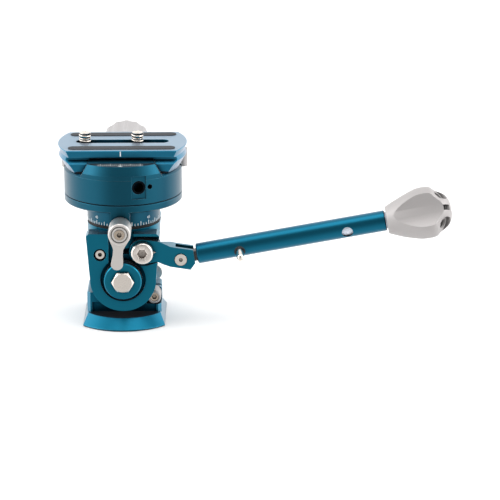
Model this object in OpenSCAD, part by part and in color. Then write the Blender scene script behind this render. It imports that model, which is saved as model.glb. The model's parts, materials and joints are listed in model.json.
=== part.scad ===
// Two-way tilt head with a panning clamp, a sliding camera plate and a telescoping side handle.
// The origin is the centre of the base's underside. +X points to the handle, +Y to the rear,
// +Z up. The head tilts about an axle along Y and pans about the Z axis.

/* [Base] */
// Radius of the base disc at its foot
base_r = 27.8; // [26:0.1:32]
// Half width across the side flats of the base
base_half_w = 20.9; // [20.6:0.1:24]
// Thickness of the base plate
base_h = 5.7; // [4:0.1:8]
// Height of the straight land under the bevel
base_land = 0.8; // [0.4:0.1:2]
// How far the round bevel of the base leans in
base_bevel = 5.2; // [2:0.1:6]
// How far the side bevel of the base leans in
base_side_bevel = 2.4; // [0.5:0.1:3]
// Chamfer on the bottom edge of the base
base_edge = 0.4; // [0.2:0.1:0.8]
// Wall radius of the tripod thread under the base
tripod_r = 4; // [3:0.05:5]
// Depth of the tripod thread
tripod_depth = 11; // [6:0.5:12]

/* [Lug of the base] */
// Height of the tilt axis above the foot
tilt_z = 26.1; // [25:0.1:30]
// Thickness of the lug that stands between the cheeks
lug_t = 24.4; // [22:0.1:28]
// Radius of the round top of the lug
lug_top_r = 14.2; // [13:0.1:14.6]
// Half width of the lug at its shoulders
lug_half_w = 19; // [18.8:0.1:20.5]
// Height of the lug's shoulders
lug_shoulder_z = 16.2; // [14:0.1:18]
// Chamfer along the edge of that shoulder
lug_edge = 0.6; // [0.2:0.1:1.5]
// How far the lug's upright corners are cut back
lug_corner = 2.6; // [0.5:0.1:4]
// Height of the relief on the lug's front face
lug_relief_z = 11; // [8:0.1:13]
// Depth of that relief
lug_relief_d = 1.4; // [0.5:0.1:2]
// Width of the strip left beside the relief
lug_relief_rim = 2.6; // [1.5:0.1:5]
// Width of the saw cut that the drag screw closes
slit_t = 1.8; // [1.6:0.1:2.4]
// Distance of the saw cut behind the middle of the lug
slit_y = 1.4; // [1:0.1:3]

/* [Tilt axle and drag] */
// Radius of the tilt axle
axle_r = 4; // [3.2:0.05:5]
// Radius of the thread on its rear end
axle_thread_r = 3; // [2:0.05:3.1]
// Outer radius of the axle bushes
bush_r = 6; // [5.5:0.1:7]
// Radius of the bush flanges
bush_flange_r = 9; // [8:0.1:11]
// Thickness of the bush flanges
bush_flange_t = 0.5; // [0.3:0.1:0.8]
// Across flats of the hexagon on the axle's front end
axle_hex_af = 10; // [8.5:0.1:13]
// Height of that hexagon
axle_hex_h = 2.3; // [1.5:0.1:5]
// Radius of the pressure washer under the hexagon
washer_r = 9.6; // [8:0.1:10.8]
// How far the pressure washer stands out of the cheek
washer_proud = 4; // [1:0.1:6]
// Radius of the friction disc on the axle
drag_disc_r = 12; // [9:0.1:12.5]
// Thickness of the friction disc
drag_disc_t = 1.4; // [1:0.1:1.5]
// Distance of the drag screw to the right of the middle
drag_x = 15.4; // [15:0.1:16.2]
// Height of the drag screw
drag_z = 13.6; // [13:0.1:14.5]
// Radius of the drag screw's sleeve
drag_sleeve_r = 3.45; // [3:0.05:3.8]
// Distance of the sleeve's seat in front of the middle of the lug
drag_seat_y = 3; // [2.5:0.1:6]
// Radius of the drag screw
drag_screw_r = 1.6; // [1.2:0.05:2]
// Radius of its head
drag_head_r = 2.3; // [2.1:0.05:2.8]
// Height of its head
drag_head_h = 2.1; // [1.5:0.1:3]

/* [Tilting yoke] */
// Radius of the rounded foot of the cheeks
cheek_r = 16.8; // [16:0.1:18]
// Thickness of a cheek
cheek_t = 9.2; // [8.5:0.1:11]
// Gap between the lug and each cheek
cheek_gap = 0.6; // [0.55:0.05:1]
// Half width of the cheeks at the top
cheek_top_w = 18.5; // [17.6:0.05:20]
// Height of the cheeks' top edge
cheek_top_z = 50.1; // [49:0.1:50.4]
// Chamfer on the cheeks' top corners
cheek_chamfer = 1.2; // [0.2:0.1:2]
// Radius of the ring sunk around the axle
cheek_ring_r = 11.5; // [11:0.1:13]
// Depth of that ring
cheek_ring_d = 3; // [1:0.1:3.5]
// Radius of the drum and of the flange under it
column_r = 18.6; // [18:0.1:19.5]
// Radius of the column under its flange
column_neck_r = 17.6; // [16.5:0.1:18.5]
// Height of the flange on the column
column_flange_h = 5.3; // [2:0.1:6]
// Height of the column's underside
column_bottom = 41.3; // [41.2:0.1:42]
// Height of the column's top
column_top = 51.3; // [51:0.1:52]
// Depth of the recess in the front cheek
recess_d = 4.5; // [3:0.1:5]
// Distance of the recess to the left of the middle
recess_left = 7.2; // [6:0.1:8]
// Height of the recess floor's lower edge
recess_z = 33.4; // [33:0.1:34]
// Thickness of the lip over the bracket
recess_lip = 1.3; // [0.8:0.1:1.5]
// Left end of that lip
lip_left = 5.8; // [4:0.1:7]

/* [Stop screw] */
// Distance of the stop screw to the left of the middle
stop_x = 11.5; // [11:0.1:12]
// Height of the stop screw
stop_z = 39.1; // [38.8:0.1:39.6]
// Radius of the stop screw
stop_r = 1.6; // [1.2:0.05:1.8]
// Radius of its head
stop_head_r = 2.3; // [2:0.05:2.6]
// Radius of the hole that its head sinks into
stop_sink_r = 3.25; // [3:0.05:3.6]
// Depth of that hole
stop_sink_d = 3; // [2:0.1:4]
// How far the stop screw reaches between the cheeks
stop_reach = 4; // [2:0.1:6]

/* [Pan drum] */
// Height of the gap between column and drum
drum_gap = 1.4; // [1:0.1:2]
// How far the gap is set in from the drum's face
drum_gap_d = 0.7; // [0.4:0.1:3]
// Height of the drum
drum_h = 9.8; // [8:0.1:9.9]
// Radius of the pan spindle
spindle_r = 6; // [5:0.1:7]
// Radial thickness of the pan bushes
pan_bush_t = 2; // [1:0.1:2.5]
// Circle radius of the drum screws
drum_screw_circle = 13; // [12:0.1:14]
// Radius of the drum screws
drum_screw_r = 1.5; // [1.2:0.05:1.8]
// Radius of the pan nut
pan_nut_r = 8.6; // [8.2:0.1:9]
// Height of the pan nut
pan_nut_h = 3; // [2:0.1:3.2]
// Thickness of the disc spring over the pan nut
disc_spring_t = 0.8; // [0.5:0.1:1]
// Thickness of the pan thrust washers
thrust_t = 0.5; // [0.3:0.05:0.7]

/* [Pan disc and its lock] */
// Radius of the pan disc and of the clamp body
body_r = 30; // [29:0.1:32]
// Thickness of the pan disc
disc_t = 3.8; // [3:0.1:5]
// Half width of the lock boss
boss_half_w = 4.75; // [4.5:0.05:6]
// Sideways place of the lock boss
boss_x = -0.6; // [-1:0.1:1]
// How far the boss hangs below the pan disc
boss_drop = 12.6; // [12:0.1:12.8]
// Gap between the boss and the drum
boss_gap = 1; // [0.5:0.1:2]
// Height of the lock screw above the boss's foot
lock_up = 5.4; // [4.5:0.1:7]
// Radius of the lock stud
lock_stud_r = 2.5; // [2:0.05:3]
// Length of the brake shoe
shoe_len = 2.6; // [2:0.1:4]
// Travel of the brake shoe
shoe_travel = 0.25; // [0.2:0.05:0.3]

/* [Levers] */
// Radius of the pan lever's hub
lever_hub_r = 5.7; // [5.3:0.1:6.2]
// Length of the pan lever's hub
lever_hub_len = 12.7; // [12:0.1:15]
// Reach of the pan lever from its axis to the middle of its tip
lever_reach = 15.5; // [13:0.1:20]
// Radius of the pan lever's tip
lever_tip_r = 3; // [2.6:0.1:4]
// Half width of the pan lever's waist
lever_waist = 2.45; // [2:0.05:2.55]
// Thickness of the levers' arms
lever_arm_t = 4.6; // [3:0.1:6]
// Lean of the pan lever from straight down
lever_lean = 5.2; // [0:0.1:20]
// Radius of the tilt lever's hub
tilt_hub_r = 6.3; // [5.8:0.1:7]
// Length of the tilt lever's hub
tilt_hub_len = 14.2; // [13:0.1:17]
// Reach of the tilt lever
tilt_reach = 19.4; // [16:0.1:22]
// Radius of the tilt lever's tip
tilt_tip_r = 4.2; // [3.5:0.1:5]
// Half width of the tilt lever's waist
tilt_waist = 3; // [2.2:0.1:3.4]
// Slope of the tilt lever below the horizontal
tilt_lean = 43.5; // [30:0.5:60]
// Radius of the screw heads in the levers
cap_r = 2.6; // [2.2:0.05:2.8]
// Height of those screw heads
cap_h = 2.6; // [2:0.1:3]
// Radius of the splined inserts in the levers
insert_r = 3.45; // [3.3:0.05:3.8]
// Length of the splined inserts
insert_len = 5.6; // [4:0.1:6]
// Thickness of the inserts' end wall
insert_wall = 1.4; // [1:0.1:2]
// Radius of the insert's retaining screws
cap_shank_r = 1.25; // [1:0.05:1.5]

/* [Clamp body] */
// Height of the seam groove between pan disc and clamp body
seam = 0.3; // [0.2:0.05:0.5]
// Depth of that groove
seam_d = 0.8; // [0.5:0.1:2]
// Height of the clamp body's floor above the seam
body_h = 13.8; // [12.8:0.1:15]
// Chamfer round the clamp body's top edge
body_edge = 1.2; // [0.3:0.1:1.5]
// Height of the fixed jaw's upright face above the floor
jaw_face_h = 1.2; // [1:0.1:3]
// Height of the fixed jaw's level top above the floor
jaw_top_h = 5.6; // [5:0.1:6.5]
// Height of the jaws' tips above the floor
jaw_h = 7.4; // [7:0.1:7.4]
// How far the fixed jaw's bevel leans in
jaw_bevel = 2.3; // [1:0.1:4]
// Height of that bevel
jaw_bevel_h = 3.9; // [3:0.1:5]
// Half width of the fixed jaw at its foot
jaw_foot_w = 20.2; // [18:0.1:22]
// Half width of the jaws at their tips
jaw_tip_w = 15.9; // [14:0.1:18]
// Height of the moving jaw's block above the floor
jaw_block_h = 1.7; // [1:0.1:2]
// How far the moving jaw reaches below the floor
jaw_drop = 7; // [6.8:0.1:8]
// Half length of the moving jaw
jaw_half_len = 32.4; // [30:0.1:34]
// Radius of the moving jaw's upright edges
jaw_end_r = 2.4; // [1:0.1:3]
// Thickness of the moving jaw's block
jaw_block_t = 7.2; // [6:0.1:9]
// Travel of the moving jaw
jaw_travel = 3; // [2:0.1:4]
// Radius of the jaw's guide pins
guide_r = 1.5; // [1.2:0.05:2]
// Distance of each guide pin from the middle
guide_x = 17; // [15:0.1:18]
// Length of the guide pins inside the body
guide_len = 9; // [7:0.1:10]
// Radius of the jaw springs
jaw_spring_r = 2.2; // [1.6:0.1:2.5]
// Distance of each jaw spring from the middle
jaw_spring_x = 10.5; // [9:0.1:12]
// Depth of the jaw springs' seats in the body
jaw_spring_seat = 7; // [5:0.1:9]
// How deep the body screws bite into the clamp body
body_screw_bite = 4; // [3:0.1:5]

/* [Accessory hole] */
// Angle of the accessory hole to the right of the front
port_angle = 17.6; // [12:0.1:20]
// Height of the accessory hole above the seam
port_up = 8.9; // [8:0.1:9.5]
// Wall radius of the accessory thread
port_r = 2.6; // [2.2:0.05:3]
// Outer radius of the thread insert
port_insert_r = 3.5; // [3.3:0.05:3.6]
// Depth of the thread insert
port_depth = 7; // [5:0.1:8]
// Depth of the flat around the accessory hole
port_flat_d = 0.7; // [0.5:0.05:1]
// Half width of the flat around the accessory hole
port_flat_w = 3.7; // [3.65:0.05:5]
// Half height of that flat
port_flat_h = 5.9; // [5:0.1:6]
// Distance of the locating hole from the accessory hole
pin_hole_gap = 5.8; // [5.4:0.1:7]
// Radius of the locating hole
pin_hole_r = 1.3; // [1:0.05:1.5]
// Depth of the locating hole
pin_hole_depth = 4; // [3:0.1:6]

/* [Clamp knob] */
// Radius of the clamp knob
knob_r = 13.7; // [11:0.1:15]
// Length of the clamp knob
knob_len = 22.5; // [12:0.1:26]
// Width of the rounded edge at the knob's front
knob_edge = 0.8; // [0.4:0.1:1.5]
// Number of flutes round the knob
knob_flutes = 16; // [10:1:20]
// Depth of the flutes
knob_flute_d = 0.7; // [0.3:0.1:1.2]
// Radius of the collar between knob and jaw
knob_collar_r = 6.2; // [5:0.1:8]
// Gap between the clamp body's rim and the knob
knob_gap = 0.5; // [0.3:0.1:2]
// Depth of the knob's screw axis below the floor
knob_axis_down = 4.1; // [4:0.1:4.4]
// Radius of the clamp screw
clamp_screw_r = 3; // [2.5:0.05:3]
// Length of the clamp screw inside the body
clamp_screw_len = 20; // [14:0.5:24]

/* [Camera plate] */
// Half length of the plate
plate_half_len = 32.8; // [31:0.1:36]
// Half depth of the plate
plate_half_d = 19; // [18.6:0.1:19.2]
// Thickness of the plate
plate_h = 11.5; // [11:0.1:13]
// Gap between the plate and the floor of the clamp
plate_gap = 0.3; // [0.2:0.05:0.5]
// Radius of the plate's curved ends
plate_end_r = 38.6; // [34:0.1:45]
// Height of the plate's top rim
rim_h = 3.4; // [3:0.1:3.6]
// Height of the groove in the plate's side
groove_h = 1.2; // [1:0.1:1.4]
// Depth of that groove
groove_d = 2.1; // [1.5:0.1:2.4]
// How far the plate's ends lean in towards the foot
plate_taper = 3.9; // [2:0.1:5]
// Half length of the slot for the camera screws
slot_half_len = 23.6; // [22:0.1:25]
// Half width of that slot
slot_half_w = 3.3; // [3.25:0.05:3.6]
// Half width of the lower, wider slot
slot_low_w = 5.6; // [5.4:0.1:6]
// Thickness of the web between the slots' levels
slot_web = 4; // [3:0.1:5]
// Half width of the rubber strips
pad_half_w = 2.9; // [2:0.1:3.2]
// Distance of each strip from the middle of the plate
pad_y = 13.4; // [11:0.1:14]
// Half length of the rubber strips
pad_half_len = 27; // [20:0.1:27.5]
// Thickness of the rubber strips
pad_t = 1.2; // [0.8:0.1:2]
// How far the strips stand out of the plate
pad_proud = 0.3; // [0.1:0.05:0.6]
// Distance of each stop pin from the middle of the plate
plate_stop_x = 24.5; // [24:0.1:25]
// Radius of the plate's stop pins
plate_stop_r = 1.5; // [1:0.05:1.8]
// How deep the stop pins sit in the plate
plate_stop_seat = 2.5; // [1.5:0.1:3]
// How far the stop pins reach below the floor of the clamp
plate_stop_drop = 0.8; // [0.5:0.1:1]
// How far the plate slides each way
plate_travel = 11; // [6:0.5:12]

/* [Camera screws] */
// Radius of the camera thread
camera_thread_r = 3.175; // [2.9:0.005:3.2]
// Height of the camera thread above the plate
camera_thread_h = 5; // [3:0.1:6]
// Radius of the screws' heads
camera_head_r = 5; // [4.4:0.1:5.2]
// Height of the screws' heads
camera_head_h = 3.4; // [2.5:0.1:4]
// Radius of the screws' necks
camera_neck_r = 2.2; // [1.8:0.1:2.4]
// Place of the first camera screw along the slot
camera_1_x = -19; // [-19.5:0.1:-15]
// Place of the second camera screw along the slot
camera_2_x = 7.6; // [4:0.1:9]

/* [Handle bracket] */
// Distance of the bracket screw to the right of the middle
bracket_x = 9.9; // [9.6:0.1:10.2]
// Height of the bracket screw
bracket_z = 40.5; // [40.3:0.1:40.7]
// Radius of the bracket's eye
eye_r = 6.5; // [6:0.1:6.6]
// Clearance round the eye in its recess
eye_clear = 0.45; // [0.3:0.05:0.6]
// Depth of the bracket's arm
arm_depth = 9.2; // [8:0.1:9.2]
// Thickness of the raised neck between the eye and the fork
neck_t = 1.5; // [1:0.1:3]
// Clearance of the arm behind the cheek's front face
arm_set_back = 0.2; // [0.1:0.05:0.5]
// Radius of the bracket screw
bracket_screw_r = 3; // [2.4:0.05:3.2]
// Radius of the bracket screw's head
bracket_head_r = 5.65; // [5:0.05:6]
// Height of that head
bracket_head_h = 3.2; // [2:0.1:4]
// Thickness of the tab washer
tab_t = 0.7; // [0.4:0.05:1]
// Distance of the fork pivot to the right of the middle
fork_x = 29.4; // [28.8:0.1:29.8]
// Height of the fork pivot
fork_z = 36.4; // [36:0.1:36.8]
// Width of the fork's slot
fork_slot = 5.4; // [4.5:0.1:6]
// How far the slot reaches behind the pivot
fork_slot_back = 2.7; // [2.6:0.1:4]
// Radius of the fork screw
fork_screw_r = 1.5; // [1.2:0.05:1.8]
// Radius of the fork screw's head
fork_head_r = 3; // [2.2:0.05:3]
// Radius of the sinks round the fork screw
fork_sink_r = 3.25; // [3.1:0.05:3.3]
// Depth of those sinks
fork_sink_d = 0.9; // [0.5:0.05:1]

/* [Handle tube] */
// Slope of the handle above the horizontal
handle_rise = 10.1; // [5:0.1:15]
// How far the tube's axis passes above the fork pivot
tube_lift = 0.45; // [0:0.05:1]
// Radius of the outer tube
tube_r = 5.25; // [4.9:0.05:5.6]
// Wall of the outer tube
tube_wall = 1; // [0.8:0.05:1.2]
// Distance from the fork pivot to the tube
tube_start = 8.4; // [8.3:0.1:10]
// Length of the outer tube
tube_len = 97; // [90:0.5:120]
// Radius of the rounded end of the tongue
tongue_r = 2.4; // [2.2:0.05:2.4]
// Length of the plug inside the tube
plug_len = 12; // [8:0.5:20]
// Distance of the first pin hole from the tube's inner end
hole_1_s = 21.8; // [16:0.1:30]
// Distance between the two pin holes
hole_pitch = 55.3; // [40:0.1:60]
// Radius of the two pin holes
hole_r = 2.85; // [2.5:0.05:3.2]
// Angle of the pin holes below the horizontal
hole_angle = 17; // [0:1:60]
// Radius of the lock pin
lock_pin_r = 1.95; // [1.6:0.05:2.2]
// How far the lock pin stands out of the tube
lock_pin_proud = 6.9; // [3:0.1:8]
// Wall of the inner tube
inner_wall = 1; // [0.6:0.05:1.2]
// Clearance between the tubes
tube_fit = 0.08; // [0.05:0.01:0.1]
// How far the inner tube draws out
tube_travel = 55; // [20:1:60]

/* [Grip] */
// Radius of the grip's collar
grip_collar_r = 7.1; // [6.5:0.1:8.5]
// Largest radius of the grip
grip_r = 13.5; // [12:0.1:15]
// Length of the grip
grip_len = 33.1; // [32:0.1:36]
// Distance of the largest radius from the collar
grip_wide_s = 18.5; // [17:0.5:20]
// Radius of the cutter that hollows each scallop
scallop_r = 22.3; // [18:0.1:26]
// Radius left at the floor of a scallop
scallop_floor = 8.7; // [8.2:0.1:9.4]
// Turn of the lands round the grip's axis
grip_turn = 4; // [0:1:119]
// Distance of the threaded holes' mouths from the grip's axis
grip_hole_radius = 8.4; // [8:0.1:9]
// Distance of the threaded holes' mouths from the collar
grip_hole_s = 27.5; // [26:0.1:28.5]
// Lean of the threaded holes from the grip's axis
grip_hole_lean = 38; // [30:1:50]
// Depth of the threaded holes in the grip
grip_hole_depth = 5; // [3:0.1:5.5]
// Wall radius of those holes
grip_hole_r = 2.55; // [2:0.05:3.2]
// Radius of the flat round each hole's mouth
grip_spot_r = 4.3; // [3.6:0.1:4.6]
// Width of the notches in the grip's end
grip_notch_w = 2.8; // [2:0.1:3.5]
// Depth of those notches
grip_notch_d = 1.2; // [0.6:0.1:1.6]
// Distance of the grip's set screw from the collar
grip_screw_s = 5.8; // [3:0.1:8]
// Radius of the set screw
grip_screw_r = 1.25; // [1:0.05:1.5]
// How deep the inner tube sits in the grip
grip_socket = 12; // [8:0.5:14]
// Gap between the outer tube's end and the grip
grip_gap = 0.6; // [0.3:0.05:1]

/* [Hidden] */

$fn = 96;
teal = [0.04, 0.33, 0.42];
silver = [0.80, 0.79, 0.77];
steel = [0.62, 0.63, 0.65];
rubber = [0.30, 0.31, 0.31];
bronze = [0.72, 0.55, 0.32];
polymer = [0.90, 0.90, 0.86];

eps = 0.05;                       // overlap that keeps a cut clear of a face
run = 0.05;                       // radial clearance of a turning fit
face_gap = 0.1;                   // clearance between faces that rub
over = 40;                        // length of a cutter that has to pass right through

lug_y = lug_t/2;
cheek_in = lug_y + cheek_gap;     // inner face of a cheek
cheek_out = cheek_in + cheek_t;   // outer face of a cheek
stop_y = -cheek_out + stop_sink_d;
washer_y = -cheek_out - washer_proud;
drum_z = column_top + drum_gap;
drum_top = drum_z + drum_h;
disc_z = drum_top + thrust_t + face_gap;
disc_top = disc_z + disc_t;
body_z = disc_top + seam;
floor_z = body_z + body_h;
bush_bore_r = spindle_r + run;
pan_bush_r = bush_bore_r + pan_bush_t;
nut_pocket_r = pan_nut_r + 0.4;
nut_z = column_bottom + 0.3;
nut_pocket_top = nut_z + pan_nut_h + disc_spring_t + face_gap;
spindle_head_r = spindle_r + 5;
spindle_head_t = 2.4;
boss_z = disc_z - boss_drop;
lock_z = boss_z + lock_up;
boss_in = column_r + boss_gap;    // inner face of the boss, before the drum
shoe_gap = shoe_travel/2 + 0.02;
shoe_y = -column_r - shoe_gap;
hub_y = -body_r - face_gap - 0.2; // rear face of the pan lever's hub
hub_front_y = hub_y - lever_hub_len;
tilt_hub_y = cheek_out + 1.2;
plate_z = floor_z + plate_gap;
plate_top = plate_z + plate_h;
jaw_tip_z = floor_z + jaw_h;
jaw_top_z = floor_z + jaw_top_h;
jaw_tip_y = plate_half_d - groove_d + 0.25;
jaw_hook = 2.75;                  // how far a jaw's hook leans back under its tip
jaw_tip_t = 0.4;
jaw_in_y = plate_half_d + 0.4;    // inner face of the moving jaw's block
jaw_out_y = jaw_in_y + jaw_block_t;
body_cut_y = jaw_in_y - 0.3;
knob_z = floor_z - knob_axis_down;
knob_y = body_r + knob_gap;
jaw_end_x = jaw_half_len - jaw_end_r;
groove_top = plate_top - rim_h - groove_d*0.16;
recess_y = -cheek_out + recess_d;
arm_y0 = -cheek_out + arm_set_back;
eye_t = recess_d - arm_set_back - 0.2;
arm_y = arm_y0 + arm_depth/2;
inner_r = tube_r - tube_wall - tube_fit;
head_sink = 0.4;

function rounded(p, times) = times == 0 ? p : rounded(concat([p[0]],
  [for (i = [0:len(p) - 2]) each [0.75*p[i] + 0.25*p[i + 1], 0.25*p[i] + 0.75*p[i + 1]]],
  [p[len(p) - 1]]), times - 1);
function mirrored(points) = [for (i = [len(points)-1:-1:0]) [-points[i][0], points[i][1]]];

// Cylinder along Y from y0 to y1
module rod_y(r, y0, y1, sides = $fn) {
  translate([0, y0, 0]) rotate([-90, 0, 0]) cylinder(r = r, h = y1 - y0, $fn = sides);
}

module ring_y(r, bore, y0, y1) {
  difference() {
    rod_y(r, y0, y1);
    rod_y(bore, y0 - 1, y1 + 1);
  }
}

module ring_z(r, bore, z0, z1) {
  translate([0, 0, z0]) difference() {
    cylinder(r = r, h = z1 - z0);
    translate([0, 0, -1]) cylinder(r = bore, h = z1 - z0 + 2);
  }
}

// Outline in X and Z, drawn out along Y from y0 to y1
module slab_y(y0, y1) {
  translate([0, y1, 0]) rotate([90, 0, 0]) linear_extrude(y1 - y0) children();
}

// Outline in Y and Z, drawn out along X from -half to half
module bar_x(half) {
  translate([-half, 0, 0]) rotate([90, 0, 90]) linear_extrude(2*half) children();
}

module hex_y(af, y0, y1) {
  rod_y(af/sqrt(3), y0, y1, 6);
}

// Screw with a socket in its head, its head's face at y = 0 and its shank running to +Y
module cap_screw(head_r, head_h, shank_r, len, socket_af) {
  difference() {
    union() {
      rod_y(head_r, 0, head_h);
      rod_y(shank_r, head_h - eps, len);
    }
    hex_y(socket_af, -1, head_h*0.6);
  }
}

module at_tilt() {
  translate([0, 0, tilt_z]) children();
}

module at_lock() {
  translate([boss_x, 0, lock_z]) children();
}

module at_knob() {
  translate([0, 0, knob_z]) children();
}

// Handle's own frame: origin on the fork pivot, +X along the tube, -Y to the front
module at_handle() {
  translate([fork_x, arm_y, fork_z]) rotate([0, -handle_rise, 0]) children();
}

// The same frame with its X axis on the axis of the tube
module at_tube() {
  at_handle() translate([0, 0, tube_lift]) children();
}

// Base
module lug_outline() {
  right = [[lug_half_w, base_h - 1], [lug_half_w, lug_shoulder_z - lug_edge],
    [lug_half_w - lug_edge, lug_shoulder_z], [lug_top_r, lug_shoulder_z], [lug_top_r, tilt_z]];
  polygon(concat(right, mirrored(right)));
  translate([0, tilt_z]) circle(lug_top_r);
}

module lug_blank() {
  corner = [[lug_half_w, lug_corner - lug_y], [lug_half_w, lug_y - lug_corner],
    [lug_half_w - lug_corner*0.6, lug_y]];
  front = [[lug_half_w - lug_corner*0.6, -lug_y]];
  intersection() {
    slab_y(-lug_y, lug_y) lug_outline();
    linear_extrude(over) polygon(concat(front, corner, mirrored(concat(front, corner))));
  }
}

module base_blank() {
  intersection() {
    rotate_extrude($fn = 180) polygon([[0, 0], [base_r - base_edge, 0], [base_r, base_edge],
      [base_r, base_land], [base_r - base_bevel, base_h], [0, base_h]]);
    side = [[base_half_w - base_edge, 0], [base_half_w, base_edge], [base_half_w, base_land],
      [base_half_w - base_side_bevel, base_h], [base_half_w - base_side_bevel, base_h + 1]];
    slab_y(-over, over) polygon(concat([[0, -eps]], side, [[0, base_h + 1]], mirrored(side)));
  }
}

module base_plate() {
  color(teal) difference() {
    union() {
      base_blank();
      lug_blank();
    }
    translate([0, 0, -1]) cylinder(r = tripod_r, h = tripod_depth + 1);
    at_tilt() rod_y(bush_r, -over, over);
    at_tilt() rod_y(drag_disc_r + 0.5, slit_y - slit_t/2, slit_y + slit_t/2);
    translate([-drag_disc_r/3, slit_y - slit_t/2, drag_z - 5.5])
      cube([over, slit_t, over]);
    translate([drag_x - drag_sleeve_r - 0.6, -over, drag_z - drag_sleeve_r - 0.5])
      cube([over, over - drag_seat_y, over]);
    translate([drag_x, 0, drag_z]) rod_y(drag_screw_r + run, -over, lug_y - 1.5);
    translate([-lug_half_w + lug_relief_rim, -lug_y - 1, base_h])
      cube([2*(lug_half_w - lug_relief_rim), lug_relief_d + 1, lug_relief_z - base_h]);
  }
}

module axle_bush(y0, y1, flange_y) {
  color(bronze) at_tilt() difference() {
    union() {
      rod_y(bush_r, y0, y1);
      rod_y(bush_flange_r, flange_y, flange_y + bush_flange_t);
    }
    rod_y(axle_r + run, -over, over);
  }
}

module front_bush() {
  axle_bush(-lug_y - bush_flange_t, slit_y - slit_t/2 - 1, -lug_y - bush_flange_t);
}

module rear_bush() {
  axle_bush(slit_y + slit_t/2 + 1, lug_y + bush_flange_t, lug_y);
}

module drag_sleeve() {
  front = -cheek_in + 0.4;
  color(silver) translate([drag_x, 0, drag_z]) difference() {
    rotate([-90, 0, 0]) translate([0, 0, front]) rotate_extrude() polygon([[0, 0],
      [drag_sleeve_r - 0.5, 0], [drag_sleeve_r, 0.5], [drag_sleeve_r, -drag_seat_y - front],
      [0, -drag_seat_y - front]]);
    rod_y(drag_screw_r + run, -over, over);
    rod_y(drag_head_r + run, front - 1, front + drag_head_h + 0.5);
  }
}

module drag_screw() {
  front = -cheek_in + 0.8;
  color(steel) translate([drag_x, front, drag_z])
    cap_screw(drag_head_r, drag_head_h, drag_screw_r, lug_y - 2 - front, 2.5);
}

// Tilting yoke and its axle
module cheek_outline() {
  side = [[cheek_top_w - cheek_chamfer, cheek_top_z], [cheek_top_w, cheek_top_z - cheek_chamfer],
    [cheek_r, tilt_z]];
  polygon(concat(side, mirrored(side)));
  translate([0, tilt_z]) circle(cheek_r);
}

module recess_outline() {
  lip_z = cheek_top_z - recess_lip;
  polygon([[-recess_left, recess_z], [bracket_x + 2.6, recess_z], [bracket_x + 7.3, recess_z + 1.5],
    [over, recess_z + 0.7], [over, lip_z], [lip_left, lip_z], [lip_left, over + recess_z],
    [-recess_left, over + recess_z]]);
  translate([bracket_x, bracket_z]) circle(eye_r + eye_clear);
}

module front_cheek() {
  difference() {
    slab_y(-cheek_out, -cheek_in) cheek_outline();
    slab_y(-cheek_out - 1, recess_y) recess_outline();
    slab_y(-cheek_out - 1, -cheek_in + 1) translate([-4, column_bottom - 3]) square([8, 3 - eps]);
    at_tilt() rod_y(cheek_ring_r, -cheek_out - 1, -cheek_out + cheek_ring_d);
  }
}

module tilt_yoke() {
  color(teal) difference() {
    union() {
      front_cheek();
      slab_y(cheek_in, cheek_out) cheek_outline();
      translate([0, 0, column_bottom])
        cylinder(r = column_neck_r, h = column_top - column_bottom);
      translate([0, 0, column_top - column_flange_h]) cylinder(r = column_r, h = column_flange_h);
      translate([0, 0, column_top - eps])
        cylinder(r = column_r - drum_gap_d, h = drum_gap + eps);
    }
    at_tilt() rod_y(axle_r, -over, over);
    translate([-stop_x, 0, stop_z]) {
      rod_y(stop_r, -over, -cheek_in + 1);
      rod_y(stop_sink_r, -over, stop_y);
    }
    translate([bracket_x, 0, bracket_z]) {
      rod_y(bracket_screw_r, -over, 0);
      rod_y(eye_r + eye_clear, -over, recess_y);
    }
    translate([0, 0, column_bottom - 1]) {
      cylinder(r = nut_pocket_r, h = nut_pocket_top - column_bottom + 1);
      cylinder(r = pan_bush_r, h = over);
      drum_screw_places() cylinder(r = drum_screw_r, h = over);
    }
  }
}

module tilt_axle() {
  color(steel) at_tilt() {
    intersection() {
      hex_y(axle_hex_af, washer_y - axle_hex_h, washer_y);
      rotate([-90, 0, 0]) translate([0, 0, washer_y - axle_hex_h]) rotate_extrude()
        polygon([[0, 0], [axle_hex_af/2 - 0.3, 0], [axle_hex_af*0.6, 1.2],
          [axle_hex_af*0.6, axle_hex_h], [0, axle_hex_h]]);
    }
    rod_y(axle_r, washer_y - eps, cheek_out - 1);
    rod_y(axle_thread_r, cheek_out - 1 - eps, tilt_hub_y + insert_len - insert_wall - 0.4);
  }
}

module pressure_washer() {
  color(teal) at_tilt() rotate([-90, 0, 0]) translate([0, 0, washer_y]) rotate_extrude()
    polygon([[axle_r, 0], [washer_r - 0.5, 0], [washer_r, 0.5],
      [washer_r, washer_proud + cheek_ring_d], [axle_r, washer_proud + cheek_ring_d]]);
}

module friction_disc() {
  color(steel) at_tilt() ring_y(drag_disc_r, axle_r, slit_y - drag_disc_t/2, slit_y + drag_disc_t/2);
}

module stop_screw() {
  head_h = stop_sink_d - 0.6;
  color(steel) translate([-stop_x, stop_y - head_h, stop_z])
    cap_screw(stop_head_r, head_h, stop_r, -cheek_in + stop_reach - stop_y + head_h, 2);
}

module rear_washer() {
  color(steel) at_tilt() ring_y(tilt_hub_r + 1.5, axle_thread_r + run, cheek_out,
    tilt_hub_y - face_gap);
}

// Pan drum and its bearing
module drum_screw_places() {
  for (a = [90, 210, 330]) rotate(a) translate([drum_screw_circle, 0, 0]) children();
}

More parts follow.
